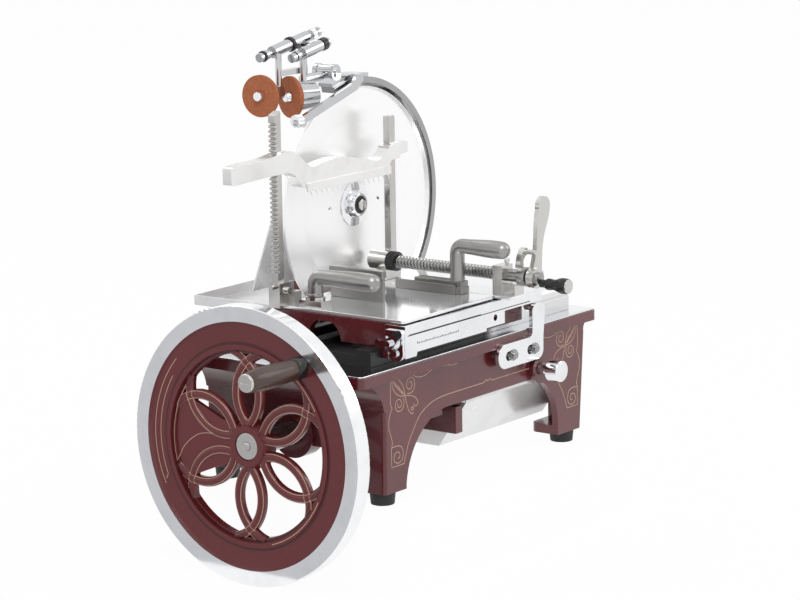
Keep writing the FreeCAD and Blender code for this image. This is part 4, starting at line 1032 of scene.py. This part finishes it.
@dataclass
class ScrewTrim:
    """The knurled nut ring, the bearing's wing screw and the knob's bright cap."""

    x: float = 20.0
    z: float = 250.0
    nut_y: Pair = (10.0, 22.0)
    wing_y: float = -158.0
    knob_z: float = 244.0
    knob_end: float = -247.8
    cap_y: Pair = (-249.75, -247.0)

    def build(self) -> None:
        """Models the ring, the wing screw, the shortened knob and its cap."""
        nut = Bench.knurled("nut_ring", *(mm(self.x, y, self.z) for y in self.nut_y), 12.5, 30)
        hand_over(nut, "table", "black_iron", IRON, "feed_nut")
        stem = Bench.drum("stem", mm(self.x, self.wing_y, 261.5), mm(self.x, self.wing_y, 266),
                          2.2, 16)
        wings = Bench.block("wings", mm(self.x - 5, self.wing_y - 1, 265.5),
                            mm(self.x + 5, self.wing_y + 1, 270))
        Bench.rounded(wings, 0.8)
        hand_over(Bench.join("wing_screw", [stem, wings]), "carriage", "nickel", NICKEL)
        knob = FineCopies.copy_of("release_knob")
        for vertex in knob.data.vertices:
            vertex.co.y = max(vertex.co.y, self.knob_end * MM)
        Bench.rounded(knob, 0.5)
        hand_over(knob, "release", "black_plastic", KNOB, "release_knob")
        cap = Bench.drum("knob_cap", *(mm(self.x, y, self.knob_z) for y in self.cap_y), 8.8)
        Bench.rounded(cap, 0.5)
        hand_over(cap, "release", "nickel", NICKEL)


@dataclass
class FeedScrew:
    """The table's feed screw with its trapezoidal thread."""

    x: float = 20.0
    z: float = 250.0
    start_y: float = -141.0
    turns: int = 37
    pitch: float = 5.0
    root: float = 6.3
    crest: float = 8.0
    steps: int = 28
    foot: float = 1.75
    land: float = 0.85
    core_y: Pair = (-143.0, 48.0)
    journal_y: Pair = (-208.0, -142.0)
    ratchet_y: Pair = (-190.0, -178.0)

    def shaft(self, name: str, reach: Pair, radius: float, sides: int = 32) -> bpy.types.Object:
        """A cylinder on the screw's axis.

        Args:
            name: of the piece.
            reach: places of its ends along Y, in millimetres.
            radius: in millimetres.
            sides: round it.

        Returns:
            The piece.
        """
        return Bench.drum(name, *(mm(self.x, y, self.z) for y in reach), radius, sides)

    def build(self) -> None:
        """Winds the thread's section along a core, and adds the journal and the ratchet."""
        core = self.shaft("core", self.core_y, self.root + 0.2)
        journal = self.shaft("journal", self.journal_y, self.crest)
        Bench.rounded(journal, 0.8)
        ratchet = self.shaft("ratchet", self.ratchet_y, 12.0, 24)
        Bench.rounded(ratchet, 0.5)
        Bench.clear()
        bpy.ops.mesh.primitive_plane_add(size=1, location=(0, 0, 0))
        thread = bpy.context.object
        section = [(self.root, -self.foot), (self.crest, -self.land),
                   (self.crest, self.land), (self.root, self.foot)]
        for vertex, (r, y) in zip((thread.data.vertices[i] for i in (0, 1, 3, 2)), section):
            vertex.co = mm(r, y, 0)
        Bench.modify(thread, "SCREW", axis="Y", angle=math.tau, steps=self.steps,
                     render_steps=self.steps, screw_offset=self.pitch * MM,
                     iterations=self.turns, use_smooth_shade=False)
        thread.location = mm(self.x, self.start_y, self.z)
        Bench.settle(thread)
        bpy.ops.object.mode_set(mode="EDIT")
        bpy.ops.mesh.select_all(action="SELECT")
        bpy.ops.mesh.normals_make_consistent(inside=False)
        bpy.ops.object.mode_set(mode="OBJECT")
        bpy.ops.object.shade_smooth_by_angle(angle=EDGE_ANGLE)
        piece = Bench.join("threaded_screw", [core, journal, ratchet, thread])
        hand_over(piece, "screw", "steel", STEEL, "feed_screw")


FINISHES: dict[str, Finish] = {node: finish for finish, nodes in (
    (RED, "base_casting lower_carriage knife_column gear_carriers"),
    (WEB, "wheel_web"),
    (CHROME, "base_top_plate knife_nut support_bracket carriage_beam thickness_knob stone_axles "
             "wing_lever"),
    (RIM, "wheel_rim"),
    (BLADE, "blade"),
    (GUARD, "blade_guard"),
    (SHEET, "slice_tray slice_deflector underside_guard"),
    (TABLE, "carriage_deck table_plate"),
    (DIAL, "sharpener_head sharpener_bracket left_push_rod right_push_rod"),
    (NICKEL, "hub_cap feed_lever nut_carrier table_clamps screw_bearing support_roller handle_pin"),
    (POST, "toothed_rack plain_post"),
    (BAR, "press_bar press_comb"),
    (CAST, "right_jaw left_jaw right_handle left_handle"),
    (BOLT, "bracket_bolts"),
    (STEEL, "main_shaft shaft_gears crown_gear crank_arm connecting_rod cross_shaft "
            "lower_sprocket upper_sprocket drive_chain knife_shaft feed_screw drag_pin"),
    (RAILS, "slide_bed"),
    (IRON, "feed_nut"),
    (BRONZE, "shaft_bushes"),
    (RUBBER, "rubber_feet"),
    (WALNUT, "handle_grip"),
    (KNOB, "release_knob"),
    (GRIT, "left_stone right_stone"),
) for node in nodes.split()}

SWELLS: dict[str, Triple] = {
    "right_handle": (246.0, 10.0, 2.0), "left_handle": (243.0, 8.0, 1.6)}

EDGES: dict[str, float] = {
    "base_casting": 1.2, "knife_column": 1.0, "lower_carriage": 1.0, "gear_carriers": 0.8,
    "wheel_web": 0.5, "wheel_rim": 0.9, "support_bracket": 0.8, "carriage_beam": 0.8,
    "carriage_deck": 0.6, "table_plate": 0.6, "base_top_plate": 0.5, "press_bar": 1.2,
    "press_comb": 0.25, "toothed_rack": 0.4, "plain_post": 0.8, "table_clamps": 0.7,
    "nut_carrier": 0.8, "right_jaw": 0.8, "left_jaw": 0.8, "right_handle": 1.0,
    "left_handle": 1.0, "feed_lever": 0.8, "screw_bearing": 0.7, "wing_lever": 0.8,
    "sharpener_head": 0.5, "sharpener_bracket": 0.5, "stone_axles": 0.4, "slice_tray": 0.4,
    "slice_deflector": 0.4, "blade_guard": 0.5, "knife_nut": 0.5, "hub_cap": 0.5,
    "handle_pin": 0.5, "left_stone": 0.4, "right_stone": 0.4, "thickness_knob": 0.5,
    "bracket_bolts": 0.4, "rubber_feet": 0.8, "slide_bed": 0.6, "connecting_rod": 0.6,
    "crank_arm": 0.6, "handle_grip": 0.6,
}


@dataclass
class Studio:
    """Floor, plinth, soft lamps, cards and the camera."""

    floor_z: float = -0.0965
    plinth_low: Pair = (-0.243, -0.18)
    plinth_high: Triple = (0.27, 0.2, -0.0002)
    paper_share: float = 0.97
    world_level: float = 0.62
    left_card_at: Pair = (-1.7, 1.4)
    left_card_lift: float = 0.004
    left_card_size: Pair = (2.7, 3.2)
    left_card_level: float = 0.58
    bands: int = 12
    band_reach: float = 3.2
    band_z: float = 1.75
    band_size: Pair = (1.75, 0.3)
    band_level: float = 0.05
    aim: Triple = (0.0, 0.0, 0.15)
    camera_at: Triple = (-3.1046, -2.3353, 0.9640)
    yaw: float = 36.61
    pitch: float = 10.87
    roll: float = -0.83
    focal_px: float = 3135.4
    centre_px: Pair = (413.8, 289.3)
    frame_px: Pair = (800.0, 600.0)
    sensor: float = 36.0
    lamps: tuple[tuple[str, Triple, float, float], ...] = field(default=(
        ("key_lamp", (-1.6, -1.4, 2.6), 1.8, 26.0),
        ("side_lamp", (1.9, -1.9, 1.7), 1.4, 14.0),
        ("back_lamp", (0.3, 2.4, 2.2), 1.8, 14.0),
    ))

    def paper(self, name: str) -> bpy.types.Material:
        """Pale paper that stays near white to the camera and in reflections."""
        sheet = Sheet(name)
        path = sheet.node("ShaderNodeLightPath")
        seen = Wave(sheet, path.outputs["Is Camera Ray"])
        for ray in MIRROR_RAYS:
            seen = seen.larger(path.outputs[ray])
        glow = sheet.node("ShaderNodeEmission", None, {"Color": WHITE, "Strength": 1.0})
        matt = sheet.node("ShaderNodeBsdfDiffuse", None, {"Color": (0.93, 0.93, 0.93)})
        mixed = sheet.node("ShaderNodeMixShader", None,
                           {0: seen * self.paper_share, 1: matt.outputs[0], 2: glow.outputs[0]})
        sheet.node("ShaderNodeOutputMaterial", None, {"Surface": mixed.outputs[0]})
        return sheet.material

    def world(self) -> None:
        """A world that lights softly and shows white behind and in the metal."""
        world = bpy.data.worlds.new("daylight")
        world.use_nodes = True
        nodes, links = world.node_tree.nodes, world.node_tree.links
        nodes.clear()
        path = nodes.new("ShaderNodeLightPath")
        mix = nodes.new("ShaderNodeMixShader")
        for place, level in ((1, self.world_level), (2, 1.0)):
            sky = nodes.new("ShaderNodeBackground")
            sky.inputs["Color"].default_value = (*WHITE, 1.0)
            sky.inputs["Strength"].default_value = level
            links.new(sky.outputs[0], mix.inputs[place])
        seen = path.outputs["Is Camera Ray"]
        for ray in MIRROR_RAYS:
            larger = nodes.new("ShaderNodeMath")
            larger.operation = "MAXIMUM"
            links.new(seen, larger.inputs[0])
            links.new(path.outputs[ray], larger.inputs[1])
            seen = larger.outputs[0]
        links.new(seen, mix.inputs[0])
        out = nodes.new("ShaderNodeOutputWorld")
        links.new(mix.outputs[0], out.inputs[0])
        bpy.context.scene.world = world

    @staticmethod
    def card(name: str, at: Triple, turn: Triple, size: Pair, level: float) -> None:
        """A grey card that only polished metal sees.

        Args:
            name: of the card.
            at: its centre, in metres.
            turn: its turn about X, Y and Z, in radians.
            size: its width and height, in metres.
            level: its grey.
        """
        Bench.clear()
        bpy.ops.mesh.primitive_plane_add(size=1, location=at, rotation=turn)
        card = bpy.context.object
        card.name = name
        card.scale = (*size, 1)
        sheet = Sheet(name + "_face")
        glow = sheet.node("ShaderNodeEmission", None, {"Color": (level, level, level * 1.03)})
        sheet.node("ShaderNodeOutputMaterial", None, {"Surface": glow.outputs[0]})
        card.data.materials.append(sheet.material)
        for rays in ("camera", "diffuse", "transmission", "volume_scatter", "shadow"):
            setattr(card, "visible_" + rays, False)

    def ground(self) -> None:
        """The floor and the plinth that the feet stand on."""
        Bench.clear()
        bpy.ops.mesh.primitive_plane_add(size=14, location=(0, 0, self.floor_z))
        floor = bpy.context.object
        floor.name = "floor"
        floor.data.materials.append(self.paper("floor_paper"))
        plinth = Bench.block("plinth", Vector((*self.plinth_low, self.floor_z)),
                             Vector(self.plinth_high))
        Bench.rounded(plinth, 2.0)
        plinth.data.materials.append(self.paper("plinth_paper"))

    def lights(self) -> None:
        """The lamps, turned to the slicer."""
        for name, at, size, power in self.lamps:
            bpy.ops.object.light_add(type="AREA", location=at)
            lamp = bpy.context.object
            lamp.name = name
            lamp.data.shape = "DISK"
            lamp.data.size = size
            lamp.data.energy = power
            way = Vector(self.aim) - Vector(at)
            lamp.rotation_euler = way.to_track_quat("-Z", "Y").to_euler()

    def cards(self) -> None:
        """A grey card at the left and a dark band all round."""
        self.card("left_card", (*self.left_card_at, self.floor_z + self.left_card_lift),
                  (0, 0, 0), self.left_card_size, self.left_card_level)
        for i in range(self.bands):
            turn = math.tau * i / self.bands
            at = (self.band_reach * math.cos(turn), self.band_reach * math.sin(turn), self.band_z)
            self.card(f"dark_band_{i}", at, (math.pi / 2, 0, turn + math.pi / 2),
                      self.band_size, self.band_level)

    def camera(self) -> None:
        """The camera that was fitted to the photograph."""
        yaw, pitch, roll = (math.radians(a) for a in (self.yaw, self.pitch, self.roll))
        gaze = Vector((math.cos(pitch) * math.cos(yaw), math.cos(pitch) * math.sin(yaw),
                       -math.sin(pitch)))
        side = gaze.cross(Vector((0, 0, 1))).normalized()
        up = side.cross(gaze)
        right = side * math.cos(roll) + up * math.sin(roll)
        top = up * math.cos(roll) - side * math.sin(roll)
        turn = Matrix((right, top, -gaze)).transposed().to_euler()
        bpy.ops.object.camera_add(location=self.camera_at, rotation=turn)
        camera = bpy.context.object
        camera.data.sensor_width = self.sensor
        camera.data.lens = self.sensor * self.focal_px / self.frame_px[0]
        camera.data.shift_x = (self.frame_px[0] / 2 - self.centre_px[0]) / self.frame_px[0]
        camera.data.shift_y = (self.centre_px[1] - self.frame_px[1] / 2) / self.frame_px[0]
        bpy.context.scene.camera = camera

    def build(self) -> None:
        """Sets the stage, the lamps, the cards and the camera."""
        self.ground()
        self.world()
        self.lights()
        self.cards()
        self.camera()
        bpy.context.scene.view_settings.view_transform = "Standard"


def dress_nodes() -> None:
    """Gives every CAD node its finish."""
    for name, node in frame["nodes"].items():
        WARDROBE.wear(node, FINISHES[name])
    LOG.info("dressed %d nodes", len(frame["nodes"]))


def main() -> None:
    """Builds the dressed slicer and its stage."""
    logging.basicConfig(level=logging.INFO, format="%(message)s")
    dress_nodes()
    for part in (Flywheel(), BaseLining(), BeamScale(), FeedScrew(), SharpenerDials(), ScrewTrim(),
                 FineCopies()):
        part.build()
    Studio().build()


if __name__ == "__main__":
    main()
